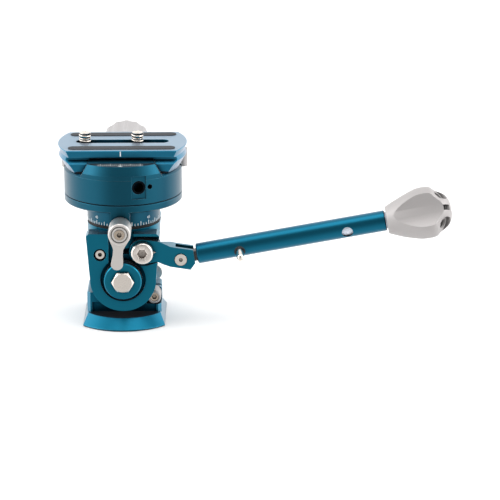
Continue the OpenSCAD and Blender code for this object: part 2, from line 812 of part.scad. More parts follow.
module pan_drum() {
  color(teal) translate([0, 0, drum_z]) difference() {
    rotate_extrude($fn = 144) polygon([[pan_bush_r, 0], [column_r - 0.3, 0], [column_r, 0.3],
      [column_r, drum_h - 0.4], [column_r - 0.4, drum_h], [pan_bush_r, drum_h]]);
    drum_screw_places() {
      translate([0, 0, -1]) cylinder(r = drum_screw_r, h = over);
      translate([0, 0, drum_h - 3]) cylinder(r = 2*drum_screw_r, h = 4);
    }
  }
}

module drum_screws() {
  color(steel) drum_screw_places() {
    translate([0, 0, column_bottom + 2]) cylinder(r = drum_screw_r, h = drum_top - 3 - column_bottom - 2);
    difference() {
      translate([0, 0, drum_top - 3]) cylinder(r = 2*drum_screw_r - 0.2, h = 2.6);
      translate([0, 0, drum_top - 2]) cylinder(r = drum_screw_r*0.8, h = 3, $fn = 6);
    }
  }
}

module upper_pan_bush() {
  color(bronze) ring_z(pan_bush_r, bush_bore_r, drum_z, drum_top);
}

module lower_pan_bush() {
  color(bronze) ring_z(pan_bush_r, bush_bore_r, nut_pocket_top, drum_z);
}

module pan_thrust_washer() {
  color(polymer) ring_z(column_r - 1, spindle_r + 1, drum_top, drum_top + thrust_t);
}

// Levers
// Arm outline in X and Z that hangs straight down from the hub
module arm_outline(hub_r, waist, reach, tip_r) {
  near = sqrt(hub_r*hub_r - waist*waist);
  side = [[hub_r*0.86, -hub_r*0.51], [waist + 0.5, -near - 1.6], [waist, -near - 3],
    [waist, -reach + tip_r*1.3], [tip_r*0.97, -reach + tip_r*0.25]];
  polygon(concat([[0, 0]], side, [[0, -reach]], mirrored(side)));
  circle(hub_r);
  translate([0, -reach]) circle(tip_r);
}

// Hub with its front face at y = 0 and its body running back to y = len
module lever_body(hub_r, len, waist, reach, tip_r) {
  difference() {
    union() {
      rotate([-90, 0, 0]) rotate_extrude() polygon([[0, 0], [hub_r - 0.5, 0], [hub_r, 0.5],
        [hub_r, len - 0.4], [hub_r - 0.4, len], [0, len]]);
      slab_y(0.3, lever_arm_t) arm_outline(hub_r - 0.05, waist, reach, tip_r);
    }
    rod_y(cap_r + 0.1, -1, cap_h - head_sink);
    rod_y(cap_shank_r + run, 0, over);
    rod_y(insert_r, cap_h + 0.4, len + 1);
    ring_y(hub_r*0.65 + 0.25, hub_r*0.65, -1, 0.3);
  }
}

module lever_insert(len, thread_r) {
  difference() {
    rod_y(insert_r, len - insert_len, len - 0.3);
    rod_y(cap_shank_r, len - insert_len - 1, len);
    rod_y(thread_r + run, len - insert_len + insert_wall, len + 1);
  }
}

module lever_spring(len) {
  ring_y(insert_r - 0.5, cap_shank_r + 0.4, cap_h + 0.6, len - insert_len - 0.2);
}

module at_pan_lever() {
  at_lock() translate([0, hub_front_y, 0]) rotate([0, lever_lean, 0]) children();
}

module pan_lever() {
  color(silver) at_pan_lever()
    lever_body(lever_hub_r, lever_hub_len, lever_waist, lever_reach, lever_tip_r);
}

module pan_lever_stud() {
  color(steel) at_lock() {
    difference() {
      rod_y(insert_r, hub_y - insert_len, hub_y - 0.3);
      rod_y(cap_shank_r, hub_y - insert_len - 1, hub_y - 1.5);
    }
    rod_y(lock_stud_r, hub_y - 0.3 - eps, shoe_y - shoe_len - shoe_gap);
  }
}

module pan_lever_spring() {
  color(steel) at_pan_lever() lever_spring(lever_hub_len);
}

module pan_lever_screw() {
  color(steel) at_pan_lever() translate([0, -head_sink, 0])
    cap_screw(cap_r, cap_h, cap_shank_r, lever_hub_len - 2.5, 2.5);
}

module at_tilt_lever() {
  at_tilt() translate([0, tilt_hub_y + tilt_hub_len, 0])
    rotate([0, tilt_lean - 90, 0]) rotate([0, 0, 180]) children();
}

module tilt_lever() {
  color(silver) at_tilt_lever()
    lever_body(tilt_hub_r, tilt_hub_len, tilt_waist, tilt_reach, tilt_tip_r);
}

module tilt_lever_insert() {
  color(steel) at_tilt_lever() lever_insert(tilt_hub_len, axle_thread_r);
}

module tilt_lever_spring() {
  color(steel) at_tilt_lever() lever_spring(tilt_hub_len);
}

module tilt_lever_screw() {
  color(steel) at_tilt_lever() translate([0, -head_sink, 0])
    cap_screw(cap_r, cap_h, cap_shank_r, tilt_hub_len - insert_len + insert_wall + head_sink, 2.5);
}

// Pan disc, spindle and clamp body
module body_screw_places() {
  for (a = [45, 135, 225, 315]) rotate(a) translate([body_r - 6, 0, 0]) children();
}

module pan_disc() {
  color(teal) difference() {
    union() {
      translate([0, 0, disc_z]) rotate_extrude($fn = 180) polygon([[0, 0], [body_r - 0.6, 0],
        [body_r, 0.6], [body_r, disc_t - 0.3], [body_r - 0.3, disc_t], [0, disc_t]]);
      intersection() {
        translate([0, 0, boss_z]) cylinder(r = body_r, h = boss_drop + 1, $fn = 180);
        translate([boss_x - boss_half_w, -body_r - 1, boss_z])
          cube([2*boss_half_w, body_r + 1 - boss_in, boss_drop + 1]);
      }
    }
    translate([0, 0, disc_z - 1]) cylinder(r = spindle_r, h = over);
    translate([0, 0, disc_top - spindle_head_t]) cylinder(r = spindle_head_r, h = over);
    body_screw_places() {
      translate([0, 0, disc_z - 1]) cylinder(r = drum_screw_r, h = over);
      translate([0, 0, disc_z - 1]) cylinder(r = 2*drum_screw_r, h = 3);
    }
    at_lock() rod_y(lock_stud_r + run, -over, 0);
  }
}

module pan_spindle() {
  color(steel) {
    translate([0, 0, disc_top - spindle_head_t]) cylinder(r = spindle_head_r, h = spindle_head_t);
    translate([0, 0, nut_z]) cylinder(r = spindle_r, h = disc_top - nut_z - 1);
  }
}

module pan_nut() {
  color(steel) difference() {
    ring_z(pan_nut_r, spindle_r, nut_z, nut_z + pan_nut_h);
    for (a = [0, 90]) rotate(a) translate([-over/2, -1, nut_z - 1]) cube([over, 2, 2.2]);
  }
}

module disc_spring() {
  color(steel) ring_z(pan_nut_r - 0.4, spindle_r, nut_z + pan_nut_h, nut_z + pan_nut_h + disc_spring_t);
}

// The jaw's hook in Y and Z: y is the distance from the middle, drawn on the +Y side
module hook_outline(back_y, back_z, foot_z) {
  tip = [jaw_tip_y, jaw_tip_z];
  polygon([tip, [jaw_tip_y, jaw_tip_z - jaw_tip_t],
    [jaw_tip_y + jaw_hook, jaw_tip_z - jaw_tip_t - jaw_hook],
    [jaw_tip_y + jaw_hook, foot_z], [back_y, foot_z], [back_y, back_z],
    [jaw_tip_y + jaw_hook + 0.4 + jaw_top_z - back_z, back_z]]);
}

module jaw_width_outline() {
  side = [[jaw_foot_w + 0.6, floor_z - 1], [jaw_tip_w, jaw_tip_z + 0.1]];
  polygon(concat(side, mirrored(side)));
}

module fixed_jaw() {
  bevel_z = floor_z + jaw_face_h;
  intersection() {
    translate([0, 0, body_z]) rotate_extrude($fn = 180) polygon([[0, 0], [body_r, 0],
      [body_r, bevel_z - body_z], [body_r - jaw_bevel, bevel_z - body_z + jaw_bevel_h],
      [body_r - 2*jaw_bevel, bevel_z - body_z + 2*jaw_bevel_h], [0, bevel_z - body_z + 2*jaw_bevel_h]]);
    mirror([0, 1, 0]) bar_x(body_r) hook_outline(body_r + 1, jaw_top_z, floor_z - 1);
    slab_y(-over, 0) jaw_width_outline();
  }
}

// Frame with +Z pointing straight out of the accessory hole, z = 0 on the body's rim
module at_port() {
  rotate(port_angle) translate([0, -body_r, body_z + port_up]) rotate([90, 0, 0]) children();
}

module clamp_body() {
  slot_in = plate_stop_x - plate_travel - plate_stop_r - 0.1;
  color(teal) difference() {
    union() {
      translate([0, 0, body_z]) rotate_extrude($fn = 180) polygon([[0, -seam],
        [body_r - seam_d, -seam], [body_r - seam_d, 0], [body_r - 0.3, 0],
        [body_r, 0.3], [body_r, body_h - body_edge], [body_r - body_edge, body_h], [0, body_h]]);
      fixed_jaw();
    }
    translate([-over, body_cut_y, floor_z - jaw_drop - 0.4]) cube([2*over, over, over]);
    body_screw_places() translate([0, 0, body_z - 1])
      cylinder(r = drum_screw_r, h = body_screw_bite + 2);
    at_knob() {
      rod_y(clamp_screw_r + run, body_cut_y - clamp_screw_len - 2, over);
      rod_y(knob_collar_r + knob_gap, jaw_out_y - 1, over);
    }
    for (side = [-1, 1]) {
      translate([side*guide_x, 0, knob_z]) rod_y(guide_r + run, body_cut_y - guide_len - 1, over);
      translate([side*jaw_spring_x, 0, knob_z]) rod_y(jaw_spring_r, body_cut_y - jaw_spring_seat, over);
      translate([side > 0 ? slot_in : -slot_in - over, -plate_stop_r - 0.4, floor_z - plate_stop_drop - 0.4])
        cube([over, 2*plate_stop_r + 0.8, over/20]);
    }
    at_port() {
      translate([-port_flat_w, -port_flat_h, -port_flat_d]) cube([2*port_flat_w, 2*port_flat_h, 3]);
      translate([0, 0, -port_depth]) cylinder(r = port_insert_r, h = port_depth + 1);
      translate([pin_hole_gap, 0, -pin_hole_depth - port_flat_d]) cylinder(r = pin_hole_r, h = over/4);
    }
  }
}

module body_screws() {
  head_h = 1.6;
  color(steel) body_screw_places() translate([0, 0, disc_z + 2 - head_h]) {
    difference() {
      cylinder(r = 2*drum_screw_r - 0.2, h = head_h);
      translate([0, 0, -1]) cylinder(r = 1.2, h = 2, $fn = 6);
    }
    cylinder(r = drum_screw_r, h = body_z + body_screw_bite - disc_z);
  }
}

module jaw_springs() {
  color(steel) for (side = [-1, 1]) translate([side*jaw_spring_x, 0, knob_z])
    ring_y(jaw_spring_r - 0.2, jaw_spring_r - 0.9, body_cut_y - jaw_spring_seat, jaw_in_y - face_gap);
}

module accessory_insert() {
  color(silver) at_port() translate([0, 0, -port_depth]) ring_z(port_insert_r, port_r, 0,
    port_depth - port_flat_d);
}

module brake_shoe() {
  color(bronze) at_lock() rod_y(lock_stud_r, shoe_y - shoe_len, shoe_y);
}

// Moving jaw and clamp knob
module moving_jaw() {
  color(silver) difference() {
    union() {
      translate([0, 0, floor_z - jaw_drop]) linear_extrude(jaw_drop + jaw_block_h) hull()
        for (x = [-jaw_end_x, jaw_end_x], y = [jaw_in_y + jaw_end_r, jaw_out_y - jaw_end_r])
          translate([x, y]) circle(jaw_end_r);
      bar_x(jaw_end_x) hook_outline(jaw_out_y, floor_z + 4.2, floor_z - 1);
    }
    at_knob() rod_y(clamp_screw_r + 0.2, 0, over);
    for (side = [-1, 1]) translate([side*guide_x, 0, knob_z]) rod_y(guide_r, 0, over);
  }
}

module guide_pins() {
  color(steel) for (side = [-1, 1]) translate([side*guide_x, 0, knob_z])
    rod_y(guide_r, body_cut_y - guide_len, jaw_out_y - 0.5);
}

module clamp_knob() {
  flute_r = 3.2;
  color(silver) at_knob() difference() {
    union() {
      rod_y(knob_collar_r, jaw_out_y + face_gap, knob_y + 1);
      rotate([-90, 0, 0]) translate([0, 0, knob_y]) rotate_extrude() polygon([[0, 0],
        [knob_r - knob_edge, 0], [knob_r, knob_edge], [knob_r, knob_len - 2*knob_edge],
        [knob_r - 0.6*knob_edge, knob_len - 0.7*knob_edge], [knob_r - 2*knob_edge, knob_len],
        [0, knob_len]]);
    }
    for (i = [0:knob_flutes - 1]) rotate([0, (i + 0.5)*360/knob_flutes, 0])
      translate([0, 0, knob_r + flute_r - knob_flute_d]) rod_y(flute_r, 0, 2*over, 48);
    rod_y(clamp_screw_r, 0, knob_y + knob_len - 3);
    rod_y(knob_r*0.5, knob_y + knob_len - 1.6, 2*over);
  }
}

module clamp_screw() {
  color(steel) at_knob() rod_y(clamp_screw_r, body_cut_y - clamp_screw_len, knob_y + knob_len - 3.2);
}

module knob_cap() {
  end = knob_y + knob_len;
  color(teal) at_knob() rod_y(knob_r*0.5 - 0.05, end - 1.6, end - 0.4);
}

// Camera plate
// Disc whose edge makes one curved end of the plate
module plate_end_disc() {
  lean = plate_taper*0.3;
  mid_z = plate_h - rim_h;
  translate([0, 0, plate_z]) rotate_extrude($fn = 180) polygon([[0, 0],
    [plate_end_r - plate_taper, 0], [plate_end_r - lean*0.3, mid_z - groove_h - 1],
    [plate_end_r - lean, mid_z], [plate_end_r, plate_h - 0.3], [plate_end_r - 0.3, plate_h],
    [0, plate_h]]);
}

module plate_side_outline() {
  d = plate_half_d;
  top = plate_h;
  under = top - rim_h;
  step = groove_d*0.16;
  low = under - step - groove_h;
  side = [[d - 0.3, top], [d, top - 0.3], [d, under], [d - groove_d, under - step],
    [d - groove_d, low], [d, low - groove_d], [d, 0.8], [d - 0.8, 0]];
  translate([0, plate_z]) polygon(concat(side, mirrored(side)));
}

module stadium(half_len, half_w) {
  for (side = [-1, 1]) translate([side*(half_len - half_w), 0]) circle(half_w);
  square([2*(half_len - half_w), 2*half_w], center = true);
}

module pad_places() {
  for (side = [-1, 1]) translate([0, side*pad_y, 0]) children();
}

module camera_plate() {
  color(teal) difference() {
    intersection() {
      bar_x(over) plate_side_outline();
      for (side = [-1, 1]) intersection_for (half = [-1, 1])
        translate([half*(plate_half_len - plate_end_r), 0, 0]) plate_end_disc();
    }
    pad_places() translate([0, 0, plate_top - pad_t + pad_proud])
      linear_extrude(pad_t) stadium(pad_half_len, pad_half_w);
    translate([0, 0, plate_z - 1]) linear_extrude(over) stadium(slot_half_len, slot_half_w);
    translate([0, 0, plate_z - 1]) linear_extrude(plate_h - slot_web + 1)
      stadium(slot_half_len + slot_low_w - slot_half_w, slot_low_w);
    plate_stop_places() translate([0, 0, plate_z - 1])
      cylinder(r = plate_stop_r, h = plate_stop_seat + 1.5);
  }
}

module plate_stop_places() {
  for (side = [-1, 1]) translate([side*plate_stop_x, 0, 0]) children();
}

module plate_pad(side) {
  color(rubber) translate([0, side*pad_y, plate_top - pad_t + pad_proud])
    linear_extrude(pad_t) stadium(pad_half_len, pad_half_w);
}

module front_pad() {
  plate_pad(-1);
}

module rear_pad() {
  plate_pad(1);
}

module plate_stop_pins() {
  color(steel) plate_stop_places() translate([0, 0, floor_z - plate_stop_drop])
    cylinder(r = plate_stop_r, h = plate_stop_drop + plate_gap + plate_stop_seat);
}

module camera_clip(x) {
  color(steel) translate([x, 0, 0]) ring_z(camera_head_r, camera_neck_r + run,
    plate_top - slot_web - 0.7, plate_top - slot_web - face_gap);
}

module camera_clip_1() {
  camera_clip(camera_1_x);
}

module camera_clip_2() {
  camera_clip(camera_2_x);
}

module camera_screw(x) {
  head_top = plate_top - slot_web - 0.8;
  color(silver) translate([x, 0, 0]) difference() {
    union() {
      translate([0, 0, head_top - camera_head_h]) cylinder(r = camera_head_r, h = camera_head_h);
      translate([0, 0, head_top - 1]) cylinder(r = camera_neck_r, h = slot_web + 2.8);
      translate([0, 0, plate_top + 0.2]) rotate_extrude() polygon([[0, 0],
        [camera_thread_r, 0], [camera_thread_r, camera_thread_h - 0.8],
        [camera_thread_r - 0.6, camera_thread_h - 0.2], [0, camera_thread_h - 0.2]]);
    }
    translate([-over/2, -0.7, head_top - camera_head_h - 1]) cube([over, 1.4, 2.4]);
  }
}

module camera_screw_1() {
  camera_screw(camera_1_x);
}

module camera_screw_2() {
  camera_screw(camera_2_x);
}

// Handle
module arm_profile() {
  down = fork_z - bracket_z;
  side_top = [[bracket_x + 9.1, bracket_z + 5.3], [bracket_x + 10.6, bracket_z + 4.5],
    [fork_x - 5.4, fork_z + 6.9], [fork_x - 2.4, fork_z + 6.3], [fork_x + 6.2, fork_z + 5]];
  side_low = [[fork_x + 7.3, fork_z - 2], [fork_x + 4.9, fork_z - 5.4], [fork_x - 0.5, fork_z - 4.5],
    [fork_x - 5.5, fork_z - 3.7], [bracket_x + 10.5, bracket_z - 6.5],
    [bracket_x + 7.4, bracket_z - 5.1]];
  polygon(concat([[bracket_x, bracket_z + eye_r]], side_top, side_low,
    [[bracket_x + 2, bracket_z - eye_r + 0.3], [bracket_x, bracket_z - eye_r]]));
  translate([bracket_x, bracket_z]) circle(eye_r);
}

module handle_bracket() {
  arm_left = cheek_top_w + 0.5;
  color(teal) difference() {
    union() {
      slab_y(arm_y0, arm_y0 + eye_t) arm_profile();
      intersection() {
        slab_y(arm_y0, arm_y0 + arm_depth) arm_profile();
        translate([arm_left, -over, 0]) cube([over, 2*over, 2*over]);
      }
    }
    translate([arm_left, arm_y0 + neck_t, fork_z + 6.9])
      cube([fork_x - 5.4 - arm_left, over, over]);
    translate([bracket_x, 0, bracket_z]) rod_y(bracket_screw_r + run, -over, 0);
    translate([fork_x - fork_slot_back, arm_y - fork_slot/2, 0]) cube([over, fork_slot, 2*over]);
    translate([fork_x, 0, fork_z]) {
      rod_y(fork_screw_r, -over, 0);
      rod_y(fork_sink_r, -over, arm_y0 + fork_sink_d);
      rod_y(fork_sink_r, arm_y0 + arm_depth - fork_sink_d, 0);
    }
  }
}

module bracket_screw() {
  head_y = arm_y0 - tab_t - bracket_head_h;
  color(silver) translate([bracket_x, head_y, bracket_z]) difference() {
    union() {
      rotate([-90, 0, 0]) rotate_extrude() polygon([[0, 0], [bracket_head_r - 1.1, 0],
        [bracket_head_r, 1.1], [bracket_head_r, bracket_head_h], [0, bracket_head_h]]);
      rod_y(bracket_screw_r, bracket_head_h - eps, -cheek_in - 0.2 - head_y);
    }
    hex_y(4, -1, 1.9);
  }
}

module tab_washer() {
  color(silver) translate([bracket_x, arm_y0 - tab_t, bracket_z]) difference() {
    union() {
      rod_y(bracket_head_r - 0.1, 0, tab_t - 0.05);
      slab_y(0, tab_t - 0.05) polygon([[bracket_head_r - 1, 1.2], [bracket_head_r + 1.2, 0],
        [bracket_head_r - 1, -1.2]]);
    }
    rod_y(bracket_screw_r + run, -1, 2);
  }
}

module fork_screw() {
  head_h = fork_sink_d + 0.4;
  color(silver) translate([fork_x, arm_y0 + fork_sink_d - head_h, fork_z])
    cap_screw(fork_head_r, head_h, fork_screw_r, arm_depth - fork_sink_d + head_h + 0.3, 2);
}

module fork_nut() {
  back = arm_y0 + arm_depth - fork_sink_d;
  color(steel) translate([fork_x, 0, fork_z]) difference() {
    hex_y(5, back, back + 1.1);
    rod_y(fork_screw_r, back - 1, back + 2);
  }
}

// Cutter in the tube's frame, square to its wall at distance s along it
module at_hole(s) {
  translate([tube_start + s, 0, 0]) rotate([90 + hole_angle, 0, 0]) children();
}

module handle_tube() {
  color(teal) at_tube() difference() {
    translate([tube_start, 0, 0]) rotate([0, 90, 0]) rotate_extrude() polygon([
      [tube_r - tube_wall, 0], [tube_r - 0.5, 0], [tube_r, 0.5], [tube_r, tube_len - 0.4],
      [tube_r - 0.4, tube_len], [tube_r - tube_wall, tube_len]]);
    for (s = [hole_1_s, hole_1_s + hole_pitch]) at_hole(s) cylinder(r = hole_r, h = over);
  }
}

module tube_plug() {
  tongue_t = fork_slot - 2*face_gap;
  color(silver) at_handle() difference() {
    union() {
      translate([tube_start, 0, tube_lift]) rotate([0, 90, 0])
        cylinder(r = tube_r - tube_wall, h = plug_len);
      slab_y(-tongue_t/2, tongue_t/2) {
        circle(tongue_r);
        polygon([[0, tongue_r], [tube_start + 1, tongue_r + 0.2],
          [tube_start + 1, -tongue_r - 0.2], [0, -tongue_r]]);
      }
    }
    rod_y(fork_screw_r + run, -over, over);
  }
}

// Dark ring in the tube's wall round the lock pin
module pin_bush() {
  color(rubber) at_tube() intersection() {
    at_hole(hole_1_s) ring_z(hole_r, lock_pin_r + run, inner_r + face_gap, tube_r + 1);
    translate([tube_start, 0, 0]) rotate([0, 90, 0]) cylinder(r = tube_r - 0.1, h = tube_len);
  }
}

module lock_pin() {
  inner = inner_r + face_gap;
  dome_z = tube_r + lock_pin_proud - lock_pin_r;
  color(silver) at_tube() at_hole(hole_1_s) rotate_extrude() intersection() {
    union() {
      polygon([[0, inner], [lock_pin_r - 0.3, inner], [lock_pin_r, inner + 0.3],
        [lock_pin_r, dome_z], [0, dome_z]]);
      translate([0, dome_z]) circle(lock_pin_r);
    }
    square([over, over]);
  }
}

module inner_tube() {
  start = tube_start + plug_len + 0.5;
  end = tube_start + tube_len + grip_gap + grip_socket;
  color(silver) at_tube() translate([start, 0, 0]) rotate([0, 90, 0])
    ring_z(inner_r, inner_r - inner_wall, 0, end - start);
}

// Grip's frame: origin on the collar's face, +Z along the grip
module at_grip() {
  at_tube() translate([tube_start + tube_len + grip_gap, 0, 0]) rotate([0, 90, 0])
    rotate(90) children();
}

module grip_blank() {
  side = rounded([[grip_collar_r, 0.6], [grip_r - 3.8, grip_wide_s - 12],
    [grip_r - 0.6, grip_wide_s - 3.5], [grip_r, grip_wide_s], [grip_r - 0.1, grip_wide_s + 5.2],
    [grip_r - 2.8, grip_wide_s + 7.5], [grip_r - 4.4, grip_len - 4.1],
    [grip_r - 5.8, grip_len - 2.2], [grip_r*0.38, grip_len - 0.6], [grip_r*0.18, grip_len]], 2);
  rotate_extrude($fn = 120)
    polygon(concat([[0, 0], [grip_collar_r - 0.5, 0]], side, [[0, grip_len]]));
}

module handle_grip() {
  color(silver) at_grip() difference() {
    grip_blank();
    translate([0, 0, -1]) cylinder(r = inner_r, h = grip_socket + 1);
    for (i = [0:2]) rotate(grip_turn + 60 + 120*i) {
      translate([0, scallop_floor + scallop_r, -1]) cylinder(r = scallop_r, h = grip_len + 2, $fn = 180);
      translate([-grip_notch_w/2, grip_r*0.38, grip_len - 2.7]) cube([grip_notch_w, over, over]);
      translate([-grip_notch_w/2, scallop_floor - 1.6 - grip_notch_d, grip_len - 2.7 - grip_notch_d])
        cube([grip_notch_w, over, over]);
    }
    for (i = [0:2]) rotate(grip_turn + 120*i) translate([0, grip_hole_radius, grip_hole_s])
      rotate([-grip_hole_lean, 0, 0]) {
        translate([0, 0, -grip_hole_depth]) cylinder(r = grip_hole_r, h = over);
        cylinder(r = grip_spot_r, h = over);
      }
    at_grip_screw() cylinder(r = grip_screw_r, h = over);
  }
}

// Axis of the set screw, in the middle of the land behind
module at_grip_screw() {
  rotate(grip_turn - 120) translate([0, 0, grip_screw_s]) rotate([-90, 0, 0]) children();
}

module grip_screw() {
  color(steel) at_grip() at_grip_screw() translate([0, 0, inner_r])
    difference() {
      cylinder(r = grip_screw_r, h = 2.6);
      translate([0, 0, 1.6]) cylinder(r = 0.75, h = 2, $fn = 6);
    }
}

base_plate();
front_bush();
rear_bush();
drag_sleeve();
drag_screw();
tilt_yoke();
tilt_axle();
pressure_washer();
friction_disc();
stop_screw();
rear_washer();
pan_drum();
drum_screws();
upper_pan_bush();
lower_pan_bush();
pan_thrust_washer();
tilt_lever();
tilt_lever_insert();
tilt_lever_spring();
tilt_lever_screw();
pan_disc();
pan_spindle();
pan_nut();
disc_spring();
clamp_body();
body_screws();
jaw_springs();
accessory_insert();
brake_shoe();
pan_lever();
pan_lever_stud();
pan_lever_spring();
pan_lever_screw();
moving_jaw();
guide_pins();
clamp_knob();
clamp_screw();
knob_cap();
camera_plate();
front_pad();
rear_pad();
plate_stop_pins();
camera_clip_1();
camera_clip_2();
camera_screw_1();
camera_screw_2();
handle_bracket();
bracket_screw();
tab_washer();
fork_screw();
fork_nut();
handle_tube();
tube_plug();
pin_bush();
lock_pin();
inner_tube();
handle_grip();
grip_screw();
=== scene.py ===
import json
import math

import bmesh
import bpy
from mathutils import Matrix, Vector


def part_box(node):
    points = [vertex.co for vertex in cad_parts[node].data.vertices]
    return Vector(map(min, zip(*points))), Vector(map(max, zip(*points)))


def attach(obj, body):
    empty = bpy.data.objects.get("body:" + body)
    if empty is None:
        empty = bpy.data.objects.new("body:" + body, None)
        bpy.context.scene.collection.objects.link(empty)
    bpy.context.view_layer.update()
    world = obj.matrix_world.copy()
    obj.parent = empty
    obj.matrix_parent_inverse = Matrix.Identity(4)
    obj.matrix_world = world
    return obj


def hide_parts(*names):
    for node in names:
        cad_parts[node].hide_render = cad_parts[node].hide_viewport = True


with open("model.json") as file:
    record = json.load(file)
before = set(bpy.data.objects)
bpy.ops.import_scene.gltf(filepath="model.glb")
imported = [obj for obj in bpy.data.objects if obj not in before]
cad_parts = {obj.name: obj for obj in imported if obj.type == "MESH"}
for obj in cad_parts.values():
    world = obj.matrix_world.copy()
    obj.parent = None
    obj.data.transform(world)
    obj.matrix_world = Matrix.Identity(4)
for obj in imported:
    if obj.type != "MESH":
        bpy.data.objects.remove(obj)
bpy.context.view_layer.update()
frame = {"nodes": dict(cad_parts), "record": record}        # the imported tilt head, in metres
mm = 0.001
bodyOf = {node: body for body, held in frame["record"]["behaviour"]["bodies"].items() for node in held}


class Num:               # a node's output that can be used in sums
    def __init__(self, web, socket):
        self.web, self.socket = web, socket

    def at(self, name):
        return Num(self.web, self.socket.node.outputs[name])

    def calc(self, operation, *others, first=None):
        values = (self, *others) if first is None else (first, self)
        return self.web.add("ShaderNodeMath", {"operation": operation}, dict(enumerate(values)))

    def __add__(self, other): return self.calc("ADD", other)
    def __radd__(self, other): return self.calc("ADD", other)
    def __sub__(self, other): return self.calc("SUBTRACT", other)
    def __rsub__(self, other): return self.calc("SUBTRACT", first=other)
    def __mul__(self, other): return self.calc("MULTIPLY", other)
    def __rmul__(self, other): return self.calc("MULTIPLY", other)
    def __truediv__(self, other): return self.calc("DIVIDE", other)
    def __rtruediv__(self, other): return self.calc("DIVIDE", first=other)
    def __gt__(self, other): return self.calc("GREATER_THAN", other)
    def __lt__(self, other): return self.calc("LESS_THAN", other)


class Web:               # adds nodes to a shader or geometry tree
    def __init__(self, tree):
        self.tree = tree

    def add(self, kind, settings=None, sockets=None, out=0):
        node = self.tree.nodes.new(kind)
        for key, value in (settings or {}).items():
            if key == "stops":                       # a colour ramp's stops
                ramp = node.color_ramp
                while len(ramp.elements) < len(value):
                    ramp.elements.new(1)
                for element, (place, tint) in zip(ramp.elements, value):
                    element.position, element.color = place, (*tint, 1)
            else:
                setattr(node, key, value)
        for key, value in (sockets or {}).items():
            if isinstance(key, str):
                socket = [s for s in node.inputs if key in (s.identifier, s.name)][0]
            else:
                socket = node.inputs[key]
            if isinstance(value, Num):
                self.tree.links.new(value.socket, socket)
            else:
                socket.default_value = value
        return None if out is None else Num(self, node.outputs[out])

    def tint(self, factor, first, second):
        return self.add("ShaderNodeMix", {"data_type": "RGBA"},
                        {"Factor_Float": factor, "A_Color": first, "B_Color": second}, "Result")

    def vector(self, x=0.0, y=0.0, z=0.0):
        return self.add("ShaderNodeCombineXYZ", None, {"X": x, "Y": y, "Z": z})


def rgb(red, green, blue):                           # picture values 0..255 to linear light
    return tuple(((c / 255 + 0.055) / 1.055) ** 2.4 if c > 10 else c / 255 / 12.92
                 for c in (red, green, blue)) + (1,)


# what a finish has unless it says otherwise; lengths in mm, tints as picture values
common = {
    "metal": 1.0, "coat": 0, "coatRough": 0.3, "glaze": 1.22,
    "sheen": 0.0, "sheenRough": 0.3, "sheenTint": (0.92, 0.9, 1.0, 1.0),
    "grain": 4500, "deep": 0.01, "bump": 0.5, "cloud": 90.0,        # fineness of grain and cloudy patches
    "cloudTone": 0.2, "grainTone": 0.08, "toneTo": 0.7, "cloudRough": 0.08, "grainRough": 0.1,
    # edges go lighter towards the edge tint: wear, and a painted highlight along the edges
    "wearFrom": 0.995, "wearTo": 0.88, "wearLeast": 0.35, "wearPatch": 0.5,
    "cave": 5, "clear": 0.92, "shut": 0.3, "caveMost": 0.96, "caveTint": 0.12,     # painted shade in sockets, gaps and under parts
    "axis": None, "centre": None, "turnPitch": 0.35, "turnWobble": 2.0,            # fine turned lines
    "turnDeep": 0.35, "turnGrain": 0.3, "turnRough": 0.05,
    "rings": (), "ringTint": (52, 48, 46), "ringFlat": 0.4,                        # rings painted dark as the shade of a groove: radius, width
}
